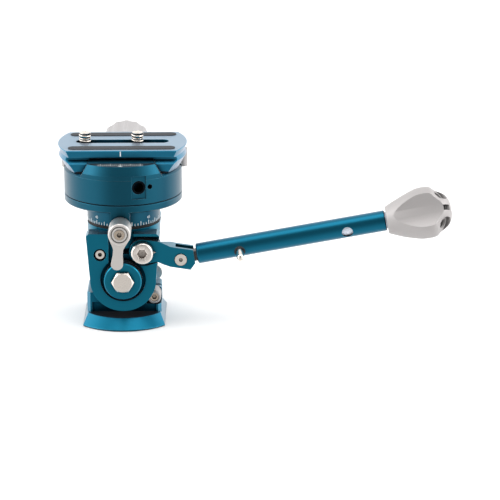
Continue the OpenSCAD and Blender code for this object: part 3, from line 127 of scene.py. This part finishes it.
# the dark tints given in these finishes are painted shade for hollows, gaps and parts under others
finishes = {
    "tealAnodised": {"tint": (8, 122, 150), "edge": (70, 160, 188), "rough": 0.34, "round": 0.3,
                     "sheen": 0.12, "coat": 1.0},
    # the teal with painted shade reaching farther, darkest under the cheeks
    "yokeAnodised": {"tint": (8, 122, 150), "edge": (70, 160, 188), "rough": 0.34, "round": 0.3,
                     "sheen": 0.12, "coat": 1.0, "cave": 9, "shut": 0.4, "dirt": (2, 36, 50)},
    # a darker copy of the teal for the clamp and pan disc: painted shade
    "clampShadedTeal": {"tint": (8, 84, 106), "edge": (76, 138, 160), "rough": 0.36, "round": 0.3,
                      "sheen": 0.2, "coat": 1.0, "dirt": (3, 26, 42)},
    # a darker copy of the teal for the drum: painted shade under the pan disc
    "drumShadedTeal": {"tint": (10, 78, 100), "edge": (80, 140, 165), "rough": 0.34, "round": 0.2,
                     "sheen": 0.12, "coat": 1.0},
    # painted shade reaching farther round the lug and under the cheeks; the brighter edge tint is wear and a
    # painted highlight along the bevel
    "baseAnodised": {"tint": (6, 122, 154), "edge": (110, 190, 214), "rough": 0.36, "round": 0.6,
                     "sheen": 0.15, "coat": 1.0, "cave": 12, "clear": 0.84, "shut": 0.4, "dirt": (2, 34, 50)},
    "tubeAnodised": {"tint": (4, 110, 140), "edge": (80, 160, 190), "rough": 0.3, "round": 0.25,
                     "sheen": 0.3, "coat": 1.0},
    "plateAnodised": {"tint": (4, 124, 160), "edge": (110, 190, 216), "rough": 0.38, "round": 0.3,
                      "sheen": 1.0, "coat": 1.0, "glaze": 1.34, "cave": 8, "clear": 0.85},
    "silverAnodised": {"tint": (186, 182, 181), "edge": (232, 230, 228), "rough": 0.46, "round": 0.3,
                       "metal": 0.6, "cave": 3},
    "innerSilver": {"tint": (222, 228, 240), "edge": (232, 230, 228), "rough": 0.42, "round": 0.2,
                    "metal": 0.4, "cave": 0},
    "leverSilver": {"tint": (246, 241, 236), "edge": (252, 250, 248), "rough": 0.38, "round": 0.3},
    "knobSilver": {"tint": (190, 187, 187), "edge": (226, 225, 224), "rough": 0.42, "round": 0.2,
                   "metal": 0.7, "cave": 1.6, "shut": 0.5, "dirt": (90, 88, 88)},
    "steelPolished": {"tint": (255, 246, 236), "edge": (255, 252, 248), "rough": 0.2, "round": 0.15,
                      "cave": 2, "shut": 0.45, "dirt": (44, 34, 26)},
    "steelWarm": {"tint": (214, 198, 180), "edge": (255, 250, 242), "rough": 0.26, "round": 0.15, "cave": 1.6},
    "steelBright": {"tint": (255, 246, 238), "edge": (255, 255, 252), "rough": 0.24, "round": 0.1,
                    "cave": 3, "shut": 0.45, "dirt": (66, 46, 30)},
    # dark steel; on the camera screws' cores it is painted shade between the thread's turns
    "darkSteelAndShade": {"tint": (16, 20, 25), "edge": (60, 70, 80), "rough": 0.4, "round": 0.1},
    "bronzeBush": {"tint": (150, 105, 62), "edge": (180, 135, 90), "rough": 0.36, "round": 0.1},
    "brassShoe": {"tint": (196, 158, 86), "edge": (222, 190, 120), "rough": 0.3, "round": 0.1},
    "darkPolymer": {"tint": (12, 12, 13), "edge": (52, 52, 54), "rough": 0.5, "round": 0.12, "metal": 0},
    # black for the ring that fills the gap under the drum
    "gapBlack": {"tint": (3, 3, 4), "edge": (14, 14, 15), "rough": 0.6, "round": 0.1, "metal": 0, "cave": 0},
    "padRubber": {"tint": (58, 60, 64), "edge": (90, 92, 96), "rough": 0.8, "round": 0.2, "metal": 0,
                  "grain": 2200, "deep": 0.05},
    "whitePaint": {"tint": (240, 246, 248), "edge": (246, 248, 248), "rough": 0.6, "round": 0.02,
                   "metal": 0, "cave": 0},
}
finishes["steelTurned"] = finishes["steelPolished"] | {"rough": 0.3, "deep": 0.02,
                                                       "centre": (0, 0, 26.1), "axis": (0, 1, 0)}
# the lever's face with a ring painted dark as the shade of its groove
finishes["leverTurned"] = finishes["leverSilver"] | {"centre": (-0.6, 0, 55.9), "axis": (0, 1, 0),
                                                     "rings": [(4.15, 0.22)]}


def makeFinish(name, own):
    look = common | own
    material = bpy.data.materials.new(name)
    material.use_nodes = True
    web = Web(material.node_tree)
    shader = material.node_tree.nodes["Principled BSDF"]
    place = web.add("ShaderNodeTexCoord", out="Object")
    grain = web.add("ShaderNodeTexNoise", None, {"Vector": place, "Scale": look["grain"], "Detail": 2.0})
    cloud = web.add("ShaderNodeTexNoise", None, {"Vector": place, "Scale": look["cloud"], "Detail": 3.0,
                                                 "Roughness": 0.6})
    softEdge = web.add("ShaderNodeBevel", {"samples": 6}, {"Radius": look["round"] * mm})
    hard = web.add("ShaderNodeNewGeometry", out="Normal")
    # where the rounded normal turns away the colour goes to the edge tint: wear, and a painted highlight along
    # the edges
    facing = web.add("ShaderNodeVectorMath", {"operation": "DOT_PRODUCT"}, {0: softEdge, 1: hard}, "Value")
    wearAndGlint = web.add("ShaderNodeMapRange", None, {"Value": facing, "From Min": look["wearFrom"],
                                                "From Max": look["wearTo"]})
    tint = rgb(*look["tint"])
    darker = tuple(c * look["toneTo"] for c in tint[:3]) + (1,)
    shade = web.tint(cloud * look["cloudTone"] + grain * look["grainTone"], tint, darker)
    colour = web.tint(wearAndGlint * (look["wearLeast"] + cloud * look["wearPatch"]), shade, rgb(*look["edge"]))
    rough = look["rough"] + (grain - 0.5) * look["grainRough"] + (cloud - 0.5) * look["cloudRough"]
    height = grain
    if look["axis"]:
        local = web.add("ShaderNodeMapping", {"vector_type": "POINT"},
                        {"Vector": place, "Location": [-c * mm for c in look["centre"]]})
        along = web.add("ShaderNodeVectorMath", {"operation": "DOT_PRODUCT"},
                        {0: local, 1: look["axis"]}, "Value")
        reach = web.add("ShaderNodeVectorMath", {"operation": "LENGTH"}, {0: local}, "Value")
        radius = (reach * reach - along * along).calc("MAXIMUM", 0.0).calc("SQRT")
        lines = (radius * (2 * math.pi / (look["turnPitch"] * mm)) + cloud * look["turnWobble"]).calc("SINE")
        height = grain * look["turnGrain"] + lines * look["turnDeep"]
        rough = rough + lines * look["turnRough"]
        # painted shade of a groove: the colour goes dark in a thin ring at each given radius
        for ring, wide in look["rings"]:
            grooveShade = web.add("ShaderNodeMapRange", {"interpolation_type": "SMOOTHSTEP"}, {
                "Value": (radius - ring * mm).calc("ABSOLUTE"),
                "From Min": wide * mm, "From Max": wide * mm * look["ringFlat"]})
            colour = web.tint(grooveShade, colour, rgb(*look["ringTint"]))
    coat = look["coat"]
    # painted shade: where ambient occlusion finds hollows, gaps or parts close by, the colour goes towards a
    # dark tint and the coat thins
    if look["cave"]:
        clear = web.add("ShaderNodeAmbientOcclusion", {"samples": 8}, {"Distance": look["cave"] * mm}, "AO")
        shut = web.add("ShaderNodeMapRange", None, {"Value": clear, "From Min": look["clear"],
                                                    "From Max": look["shut"]})
        dirt = look.get("dirt", [c * look["caveTint"] for c in look["tint"]])
        colour = web.tint(shut * look["caveMost"], colour, rgb(*dirt))
        coat = (1 - shut) * coat
    bump = web.add("ShaderNodeBump", None, {"Strength": look["bump"], "Distance": look["deep"] * mm,
                                            "Height": height, "Normal": softEdge})
    varying = {"Base Color": colour, "Roughness": rough, "Normal": bump}
    if look["coat"]:
        varying["Coat Weight"] = coat
    for socket, value in varying.items():
        material.node_tree.links.new(value.socket, shader.inputs[socket])
    even = {"Metallic": look["metal"], "Coat Roughness": look["coatRough"], "Coat IOR": look["glaze"],
            "Sheen Weight": look["sheen"], "Sheen Roughness": look["sheenRough"],
            "Sheen Tint": look["sheenTint"]}
    for socket, value in even.items():
        shader.inputs[socket].default_value = value
    return material


finish = {name: makeFinish(name, own) for name, own in finishes.items()}
slotFinish = {"anodised_teal": "tealAnodised", "anodised_silver": "silverAnodised", "steel": "steelPolished",
              "bronze": "bronzeBush", "brass": "brassShoe", "polymer": "darkPolymer", "rubber": "padRubber"}
slotOf = {part["node"]: part["material_slot"] for part in frame["record"]["subparts"]}
ownFinish = {                                        # nodes that differ from the finish of their slot
    "base_plate": "baseAnodised", "tilt_yoke": "yokeAnodised", "pan_drum": "drumShadedTeal",
    "pan_disc": "clampShadedTeal", "clamp_body": "clampShadedTeal", "camera_plate": "plateAnodised",
    "handle_tube": "tubeAnodised", "inner_tube": "innerSilver", "clamp_knob": "knobSilver",
    "tilt_axle": "steelTurned", "pan_lever": "leverTurned", "tilt_lever": "leverSilver",
    "pan_lever_screw": "steelWarm", "tilt_lever_screw": "steelWarm", "drag_screw": "steelWarm",
    "accessory_insert": "darkSteelAndShade",
}
print("finishes: %d" % len(finish))


mend = {"join": 0.002, "flat": 0.4, "sharp": 28}     # mm and degrees


def mended(name):                                    # a copy of a node with its loose triangles joined
    bm = bmesh.new()
    bm.from_mesh(frame["nodes"][name].data)
    bmesh.ops.remove_doubles(bm, verts=bm.verts, dist=mend["join"] * mm)
    bmesh.ops.dissolve_limit(bm, angle_limit=math.radians(mend["flat"]), verts=bm.verts, edges=bm.edges)
    return smoothed(bm)


def smoothed(bm, angle=mend["sharp"]):               # edges sharper than the angle stay sharp
    for edge in bm.edges:
        edge.smooth = len(edge.link_faces) == 2 and edge.calc_face_angle(0) < math.radians(angle)
    for face in bm.faces:
        face.smooth = True
    return bm


def shown(bm, name, body, look, stands=()):
    mesh = bpy.data.meshes.new(name)
    bm.to_mesh(mesh)
    bm.free()
    piece = bpy.data.objects.new(name, mesh)
    bpy.context.scene.collection.objects.link(piece)
    mesh.materials.clear()
    mesh.materials.append(finish[look])
    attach(piece, body)
    if stands:
        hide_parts(*stands)


def frameOn(point, axis):                            # a frame at a point in mm, with z along the axis
    z = Vector(axis).normalized()
    x = Vector((0, 0, 1)).cross(z)
    x = x.normalized() if x.length > 0.01 else Vector((1, 0, 0))
    return Matrix.Translation(Vector(point) * mm) @ Matrix((x, z.cross(x), z)).transposed().to_4x4()


def lathed(bm, outline, place, steps=96):            # outline: radius and height, with True where six-sided
    rings = []
    for radius, height, *sixSided in outline:
        if radius == 0:
            rings.append([bm.verts.new(place @ Vector((0, 0, height * mm)))] * steps)
            continue
        rings.append([])
        for i in range(steps):
            angle = 2 * math.pi * i / steps
            reach = radius / math.cos(angle % (math.pi / 3) - math.pi / 6) if sixSided else radius
            spot = Vector((reach * math.cos(angle), reach * math.sin(angle), height)) * mm
            rings[-1].append(bm.verts.new(place @ spot))
    for low, high in zip(rings, rings[1:]):
        for i in range(steps):
            corners = [low[i], low[(i + 1) % steps], high[(i + 1) % steps], high[i]]
            corners = [v for k, v in enumerate(corners) if v not in corners[:k]]
            if len(corners) > 2:
                bm.faces.new(corners)
    return bm


def placed(bm, mesh, place):                         # adds a mesh to bm at a place
    before = set(bm.verts)
    bm.from_mesh(mesh)
    bmesh.ops.transform(bm, matrix=place, verts=[v for v in bm.verts if v not in before])
    return bm


def outward(bm):
    bmesh.ops.recalc_face_normals(bm, faces=bm.faces)
    return bm


def cutAt(bm, point, away):                          # cuts off what lies beyond a plane and closes the cut
    bmesh.ops.bisect_plane(bm, geom=bm.verts[:] + bm.edges[:] + bm.faces[:], plane_co=Vector(point) * mm,
                           plane_no=away, clear_outer=True)
    bmesh.ops.holes_fill(bm, edges=[e for e in bm.edges if e.is_boundary])
    return bm


def newTree(name, sockets):
    tree = bpy.data.node_groups.new(name, "GeometryNodeTree")
    kinds = {float: "NodeSocketFloat", int: "NodeSocketInt", str: "NodeSocketMaterial"}
    for socket, value in sockets.items():
        item = tree.interface.new_socket(name=socket, in_out="INPUT", socket_type=kinds[type(value)])
        if not isinstance(value, str):
            item.default_value = value
    tree.interface.new_socket(name="Geometry", in_out="OUTPUT", socket_type="NodeSocketGeometry")
    web = Web(tree)
    return tree, web, web.add("NodeGroupInput")


def closeTree(tree, web, geometry, given):
    real = web.add("GeometryNodeRealizeInstances", None, {"Geometry": geometry})
    painted = web.add("GeometryNodeSetMaterial", None, {"Geometry": real, "Material": given.at("Finish")})
    web.add("NodeGroupOutput", None, {"Geometry": painted}, out=None)
    return tree


def madeBy(tree, values, name):                      # runs a tree and returns its plain mesh
    carrier = bpy.data.objects.new(name, bpy.data.meshes.new(name))
    bpy.context.scene.collection.objects.link(carrier)
    modifier = carrier.modifiers.new(name, "NODES")
    modifier.node_group = tree
    for item in tree.interface.items_tree:
        if item.in_out == "INPUT" and item.name in values:
            modifier[item.identifier] = values[item.name]
    bpy.context.view_layer.update()
    evaluated = carrier.evaluated_get(bpy.context.evaluated_depsgraph_get())
    mesh = bpy.data.meshes.new_from_object(evaluated)
    bpy.data.objects.remove(carrier)
    return mesh


def coilTree():                                      # springs and the ridges of threads
    tree, web, given = newTree("coil", {"Radius": 0.003, "Pitch": 0.001, "Turns": 4.0, "Wire": 0.0004,
                                        "Sides": 8, "Steps": 28, "Finish": "material"})
    line = web.add("GeometryNodeCurveSpiral", None, {
        "Resolution": given.at("Steps"), "Rotations": given.at("Turns"), "Start Radius": given.at("Radius"),
        "End Radius": given.at("Radius"), "Height": given.at("Pitch") * given.at("Turns")})
    wire = web.add("GeometryNodeCurvePrimitiveCircle", None,
                   {"Resolution": given.at("Sides"), "Radius": given.at("Wire")})
    tube = web.add("GeometryNodeCurveToMesh", None, {"Curve": line, "Profile Curve": wire, "Fill Caps": True})
    return closeTree(tree, web, tube, given)


def dialTree():                                      # tick marks round a drum, every few of them longer
    tree, web, given = newTree("dial", {"Count": 72, "Radius": 0.0186, "Step": 0.0873, "Height": 0.0,
                                        "Short": 0.001, "Longer": 0.001, "Every": 3, "Wide": 0.0002,
                                        "Deep": 0.00005, "Finish": "material"})
    index = web.add("GeometryNodeInputIndex")
    angle = index * given.at("Step")
    isLong = index.calc("MODULO", given.at("Every")) < 0.5
    long = given.at("Short") + isLong * given.at("Longer")
    spot = web.vector(angle.calc("SINE") * given.at("Radius"), 0.0 - angle.calc("COSINE") * given.at("Radius"),
                      given.at("Height") + long * 0.5)
    row = web.add("GeometryNodeMeshLine", None, {"Count": given.at("Count")})
    points = web.add("GeometryNodeSetPosition", None, {"Geometry": row, "Position": spot})
    bar = web.add("GeometryNodeMeshCube", None, {"Size": web.vector(given.at("Wide"), given.at("Deep"), 1.0)})
    marks = web.add("GeometryNodeInstanceOnPoints", None, {
        "Points": points, "Instance": bar, "Rotation": web.vector(z=angle),
        "Scale": web.vector(1.0, 1.0, long)})
    return closeTree(tree, web, marks, given)


def rowTree():                                       # tick marks along a straight edge
    tree, web, given = newTree("row", {"Count": 23, "Pitch": 0.001, "Short": 0.002, "Longer": 0.001, "Every": 5,
                                       "Wide": 0.0002, "Deep": 0.00005, "Finish": "material"})
    index = web.add("GeometryNodeInputIndex")
    middle = index - (given.at("Count") - 1) * 0.5
    isLong = middle.calc("ABSOLUTE").calc("MODULO", given.at("Every")) < 0.5
    long = given.at("Short") + isLong * given.at("Longer")
    row = web.add("GeometryNodeMeshLine", None, {"Count": given.at("Count")})
    points = web.add("GeometryNodeSetPosition", None, {
        "Geometry": row, "Position": web.vector(middle * given.at("Pitch"), long * 0.5)})
    bar = web.add("GeometryNodeMeshCube", None, {"Size": web.vector(given.at("Wide"), 1.0, given.at("Deep"))})
    marks = web.add("GeometryNodeInstanceOnPoints", None, {
        "Points": points, "Instance": bar, "Scale": web.vector(1.0 + isLong * 0.5, long, 1.0)})
    return closeTree(tree, web, marks, given)


coils, dials, rows = coilTree(), dialTree(), rowTree()


def coil(look, radius, pitch, turns, wire, sides, steps):
    return madeBy(coils, {"Radius": radius * mm, "Pitch": pitch * mm, "Turns": float(turns), "Wire": wire * mm,
                          "Sides": sides, "Steps": steps, "Finish": finish[look]}, "coil")


# camera screws: the head and neck of the CAD, then a core painted dark as the shade between the thread's turns,
# with a bright ridge and cap
stud = {"middles": {"camera_screw_1": -19.0, "camera_screw_2": 7.6}, "seat": 92.95, "sunk": 0.3,
        "core": 2.55, "coreShort": 0.2, "ridge": 0.52, "pitch": 1.27, "ridgeUp": 0.15, "ridgeShort": 1.0,
        "cap": 0.6, "capOut": 0.1, "capIn": 0.3, "capEdge": 0.2, "steps": 48}
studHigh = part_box("camera_screw_1")[1][2] / mm - stud["seat"]
capTop, capFoot = studHigh + stud["sunk"], studHigh + stud["sunk"] - stud["cap"]
capOutline = [(0, capFoot), (stud["core"] + stud["capOut"], capFoot),
              (stud["core"] + stud["capOut"], capTop - stud["capEdge"]), (stud["core"] - stud["capIn"], capTop),
              (0, capTop)]
coreTop = studHigh - stud["coreShort"]
coreOutline = [(0, 0), (stud["core"], 0), (stud["core"], coreTop), (0, coreTop)]
for node, middle in stud["middles"].items():
    foot = frameOn((middle, 0, stud["seat"] - stud["sunk"]), (0, 0, 1))
    core = outward(lathed(bmesh.new(), coreOutline, foot, stud["steps"]))
    shown(smoothed(core, angle=40), node + "_core", bodyOf[node], "darkSteelAndShade", (node,))
    turns = (studHigh - stud["ridgeShort"]) / stud["pitch"]
    ridge = coil("steelPolished", stud["core"], stud["pitch"], turns, stud["ridge"], sides=6, steps=32)
    bm = cutAt(mended(node), (0, 0, stud["seat"]), (0, 0, 1))
    placed(bm, ridge, frameOn((middle, 0, stud["seat"] + stud["ridgeUp"]), (0, 0, 1)))
    lathed(bm, capOutline, foot, stud["steps"])
    shown(smoothed(outward(bm), angle=40), node + "_thread", bodyOf[node], "steelPolished", (node,))
print("camera screws threaded")

# bracket screw: the CAD shank with a turned head; heights from its face, True where six-sided
button = {"high": 3.18, "outline": [(0, -3.18), (5.5, -3.18), (5.65, -3.03), (5.65, -0.85), (5.53, -0.595),
                                    (4.92, -0.06), (4.7, 0), (2.6, 0), (2.25, -0.12, True), (2.15, -0.3, True),
                                    (2.15, -1.9, True), (0, -2.4)]}
low, high = (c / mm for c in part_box("bracket_screw"))
face = frameOn(((low.x + high.x) / 2, low.y, (low.z + high.z) / 2), (0, -1, 0))
bm = cutAt(mended("bracket_screw"), (0, low.y + button["high"], 0), (0, -1, 0))
lathed(bm, button["outline"], face)
shown(smoothed(outward(bm), angle=35), "bracket_screw_turned", bodyOf["bracket_screw"], "steelBright",
      ("bracket_screw",))
print("bracket screw turned")

# springs wound as wire, inside the box of their node
springs = {
    "tilt_lever_spring": {"wire": 0.32, "turns": 5},
    "pan_lever_spring": {"wire": 0.32, "turns": 5},
    "jaw_springs": {"wire": 0.3, "turns": 7, "pair": True},
}
for node, spring in springs.items():
    wire, turns = spring["wire"], spring["turns"]
    low, high = (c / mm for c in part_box(node))
    middle, span = (low + high) / 2, high - low
    outer = min(span.x, span.z) / 2
    wound = coil("steelPolished", outer - wire, (span.y - 2 * wire) / turns, turns, wire, sides=8, steps=24)
    bm = bmesh.new()
    for centre in (outer - high.x, high.x - outer) if spring.get("pair") else (middle.x,):
        placed(bm, wound, frameOn((centre, low.y + wire, middle.z), (0, 1, 0)))
    shown(smoothed(bm, angle=60), node + "_wound", bodyOf[node], "steelPolished", (node,))
print("springs wound")

# ridges of the threads cut inside the holes; the handle and the port are placed as in the CAD
handle = {"pivot": (29.4, -17.2, 36.4), "rise": 10.1, "lift": 0.45, "grip": 106.0}
slope = math.radians(handle["rise"])
tubeAxis = Vector((math.cos(slope), 0, math.sin(slope)))
tubeUp = Vector((-math.sin(slope), 0, math.cos(slope)))
gripStart = Vector(handle["pivot"]) + tubeUp * handle["lift"] + tubeAxis * handle["grip"]
gripFrame = Matrix.Translation(gripStart * mm) @ Matrix(((0, 1, 0), tubeUp, tubeAxis)).transposed().to_4x4()
port = {"turn": 17.6, "up": 76.1, "bottom": 23.3}
portTurn = math.radians(port["turn"])
portOut = Vector((math.sin(portTurn), -math.cos(portTurn), 0))
threads = {
    "tripod_thread": {"place": frameOn((0, 0, 0.4), (0, 0, 1)), "radius": 3.98, "pitch": 1.59, "turns": 6.4,
                      "ridge": 0.4, "body": "base", "look": "tealAnodised"},
    "accessory_thread": {"place": frameOn(portOut * port["bottom"] + Vector((0, 0, port["up"])), portOut),
                         "radius": 2.6, "pitch": 0.85, "turns": 6.8, "ridge": 0.22, "body": "pan top",
                         "look": "darkSteelAndShade"},
}
gripHole = {"turn": 4, "out": 8.4, "along": 27.5, "lean": 38, "deep": 4.7}
for i in range(3):
    place = (gripFrame @ Matrix.Rotation(math.radians(gripHole["turn"] + 120 * i), 4, "Z")
             @ Matrix.Translation(Vector((0, gripHole["out"], gripHole["along"])) * mm)
             @ Matrix.Rotation(-math.radians(gripHole["lean"]), 4, "X")
             @ Matrix.Translation((0, 0, -gripHole["deep"] * mm)))
    threads["grip_thread_%d" % (i + 1)] = {"place": place, "radius": 2.55, "pitch": 0.9, "turns": 5.0,
                                           "ridge": 0.25, "body": "grip", "look": "silverAnodised"}
for name, thread in threads.items():
    mesh = coil(thread["look"], thread["radius"], thread["pitch"], thread["turns"], thread["ridge"],
                sides=4, steps=32)
    bm = placed(bmesh.new(), mesh, thread["place"])
    shown(smoothed(bm, angle=50), name + "_ridge", thread["body"], thread["look"])
print("threads cut")

# pan dial: the pressed brake shoe passes at 0.02 mm, so its marks stand out by 0.012 mm only
dial = {"radius": 18.6, "foot": 52.95, "ticks": 72, "every": 3, "short": 1.2, "longer": 0.9, "wide": 0.34,
        "out": 0.012, "digits": 2.05, "digitsAt": 56.5, "bold": 0.012,
        "numbers": {0: "0", 45: "45", 90: "90", 135: "135", 180: "180", 225: "135", 270: "90", 315: "45"}}
ticks = madeBy(dials, {
    "Count": dial["ticks"], "Every": dial["every"], "Step": 2 * math.pi / dial["ticks"],
    "Radius": dial["radius"] * mm, "Height": dial["foot"] * mm, "Short": dial["short"] * mm,
    "Longer": dial["longer"] * mm, "Wide": dial["wide"] * mm, "Deep": 2 * dial["out"] * mm,
    "Finish": finish["whitePaint"]}, "dial")
bm = placed(bmesh.new(), ticks, Matrix.Identity(4))
for turn, digits in dial["numbers"].items():
    curve = bpy.data.curves.new("digits", "FONT")
    curve.body, curve.size, curve.resolution_u = digits, dial["digits"] * mm, 3
    curve.extrude, curve.offset = dial["out"] / 2 * mm, dial["bold"] * mm
    curve.align_x, curve.align_y = "CENTER", "CENTER"
    writer = bpy.data.objects.new("digits", curve)
    bpy.context.scene.collection.objects.link(writer)
    bpy.context.view_layer.update()
    mesh = bpy.data.meshes.new_from_object(writer.evaluated_get(bpy.context.evaluated_depsgraph_get()))
    bpy.data.objects.remove(writer)
    for v in mesh.vertices:                          # bent round the drum
        angle = math.radians(turn) + v.co.x / (dial["radius"] * mm)
        reach = (dial["radius"] + dial["out"] / 2) * mm + v.co.z
        v.co = (reach * math.sin(angle), -reach * math.cos(angle), dial["digitsAt"] * mm + v.co.y)
    bm.from_mesh(mesh)
shown(bm, "pan_dial_marks", "yoke", "whitePaint")

jawScale = {"middle": -0.35, "near": -25.2, "up": 86.6, "ticks": 23, "pitch": 1.0, "every": 5, "short": 2.6,
            "longer": 1.0, "wide": 0.17, "deep": 0.1, "arrow": [(-1.3, -26.0), (1.3, -26.0), (0, -24.6)],
            "arrowUp": 86.63}
ticks = madeBy(rows, {
    "Count": jawScale["ticks"], "Every": jawScale["every"], "Pitch": jawScale["pitch"] * mm,
    "Short": jawScale["short"] * mm, "Longer": jawScale["longer"] * mm, "Wide": jawScale["wide"] * mm,
    "Deep": jawScale["deep"] * mm, "Finish": finish["whitePaint"]}, "scale")
start = Vector((jawScale["middle"], jawScale["near"], jawScale["up"]))
bm = placed(bmesh.new(), ticks, Matrix.Translation(start * mm))
bm.faces.new([bm.verts.new(Vector((jawScale["middle"] + x, y, jawScale["arrowUp"])) * mm)
              for x, y in jawScale["arrow"]])
shown(bm, "jaw_scale_marks", "pan top", "whitePaint")

indexLine = {"x": -0.4, "wide": 0.5, "low": 89.9, "high": 92.45, "face": -19.0, "deep": 0.05}
centre = Vector((indexLine["x"], indexLine["face"], (indexLine["low"] + indexLine["high"]) / 2))
size = Vector((indexLine["wide"], indexLine["deep"], indexLine["high"] - indexLine["low"]))
bm = bmesh.new()
bmesh.ops.create_cube(bm, size=1, matrix=Matrix.LocRotScale(centre * mm, None, size * mm))
shown(bm, "plate_index_line", "plate", "whitePaint")
print("dial, scale and index line marked")

# a black ring filling the gap under the drum
gapRing = {"outer": 18.25, "inner": 17.6, "low": 51.34, "high": 52.66, "steps": 128}
gapRingOutline = [(gapRing["inner"], gapRing["low"]), (gapRing["outer"], gapRing["low"]), (gapRing["outer"], gapRing["high"]),
               (gapRing["inner"], gapRing["high"]), (gapRing["inner"], gapRing["low"])]
bm = lathed(bmesh.new(), gapRingOutline, Matrix.Identity(4), gapRing["steps"])
bmesh.ops.remove_doubles(bm, verts=bm.verts, dist=1e-7)
shown(smoothed(outward(bm)), "drum_gap_ring", "yoke", "gapBlack")

# every other node: the CAD shape, joined, smoothed and finished
made = {"bracket_screw", *stud["middles"], *springs}
for node in frame["nodes"]:
    if node not in made:
        look = ownFinish.get(node, slotFinish[slotOf[node]])
        shown(mended(node), node + "_shown", bodyOf[node], look, (node,))
print("all nodes dressed")

# plain pale floor, a hair under the base
stage = {"floor": 6.0, "under": 0.02, "tint": (250, 250, 250), "rough": 0.9}
floorMesh = bpy.data.meshes.new("floor")
half, drop = stage["floor"] / 2, -stage["under"] * mm
floorMesh.from_pydata([(-half, -half, drop), (half, -half, drop), (half, half, drop), (-half, half, drop)],
                      [], [(0, 1, 2, 3)])
floor = bpy.data.objects.new("floor", floorMesh)
bpy.context.scene.collection.objects.link(floor)
floorLook = bpy.data.materials.new("paleFloor")
floorLook.use_nodes = True
floorShader = floorLook.node_tree.nodes["Principled BSDF"]
floorShader.inputs["Base Color"].default_value = rgb(*stage["tint"])
floorShader.inputs["Roughness"].default_value = stage["rough"]
floorMesh.materials.append(floorLook)
floor.visible_glossy = False

# how bright the studio is, by height of the look (0 straight down, 1 straight up)
studio = {
    "front": [(0.0, 0.95), (0.25, 0.75), (0.42, 0.5), (0.52, 0.38), (0.7, 0.28), (0.86, 0.3), (0.95, 0.9)],
    "back": [(0.0, 0.95), (0.48, 1.1), (0.56, 1.15), (0.64, 1.2), (0.75, 1.0), (1.0, 1.0)],
    "side": [(0.0, 0.8), (0.34, 1.35), (0.55, 1.5), (0.8, 2.0), (1.0, 1.2)],
    "backFrom": -0.2, "backTo": 0.4, "sideFrom": 0.35, "sideTo": 0.8, "most": 2,
}
world = bpy.data.worlds.new("studio")
bpy.context.scene.world = world
world.use_nodes = True
sky = Web(world.node_tree)
way = sky.add("ShaderNodeSeparateXYZ", None, {"Vector": sky.add("ShaderNodeTexCoord", out="Generated")})


def between(value, start, end):
    return sky.add("ShaderNodeMapRange", {"interpolation_type": "SMOOTHSTEP"},
                   {"Value": value, "From Min": start, "From Max": end})


def bright(name):
    stops = [(place, [level / studio["most"]] * 3) for place, level in studio[name]]
    return sky.add("ShaderNodeValToRGB", {"stops": stops}, {"Fac": way.at("Z") * 0.5 + 0.5}, "Color")


toBack = between(way.at("Y"), studio["backFrom"], studio["backTo"])
toSide = between(way.at("X").calc("ABSOLUTE"), studio["sideFrom"], studio["sideTo"])
level = sky.tint(toSide, sky.tint(toBack, bright("front"), bright("back")), bright("side"))
background = world.node_tree.nodes["Background"]
background.inputs["Strength"].default_value = studio["most"]
world.node_tree.links.new(level.socket, background.inputs["Color"])

lampAim = Vector((0.05, 0, 0.05))
lamps = {
    "lampOver": {"place": (0.1, -0.2, 1.3), "size": 0.9, "watts": 3},
    "lampLeft": {"place": (-1.1, -0.3, 0.7), "size": 0.5, "watts": 2},
    "lampRight": {"place": (1.2, -0.3, 0.7), "size": 0.5, "watts": 2},
    "lampFloor": {"place": (0.06, 0.3, 2.0), "size": 3.0, "watts": 16, "floorOnly": True},
}
for name, lamp in lamps.items():
    data = bpy.data.lights.new(name, "AREA")
    data.size, data.energy = lamp["size"], lamp["watts"]
    light = bpy.data.objects.new(name, data)
    bpy.context.scene.collection.objects.link(light)
    place = Vector(lamp["place"])
    turn = (lampAim - place).to_track_quat("-Z", "Y")
    light.matrix_world = Matrix.Translation(place) @ turn.to_matrix().to_4x4()
    light.visible_glossy = not lamp.get("floorOnly")

# the photo's view: target and distance in mm, angles in degrees
view = {"target": (64.46, 0, 34.73), "away": 1566.3, "down": 16.92, "roll": 0.28, "lens": 219.74,
        "sensor": 36, "farthest": 20}
down, roll = math.radians(view["down"]), math.radians(view["roll"])
ahead = Vector((0, math.cos(down), -math.sin(down)))
side, above = Vector((1, 0, 0)), Vector((0, math.sin(down), math.cos(down)))
right = side * math.cos(roll) - above * math.sin(roll)
up = above * math.cos(roll) + side * math.sin(roll)
cameraData = bpy.data.cameras.new("camera")
cameraData.lens, cameraData.sensor_width, cameraData.clip_end = view["lens"], view["sensor"], view["farthest"]
camera = bpy.data.objects.new("camera", cameraData)
bpy.context.scene.collection.objects.link(camera)
eye = (Vector(view["target"]) - ahead * view["away"]) * mm
camera.matrix_world = Matrix.Translation(eye) @ Matrix((right, up, -ahead)).transposed().to_4x4()
bpy.context.scene.camera = camera
bpy.context.scene.view_settings.view_transform = "Standard"
print("stage, light and camera set")
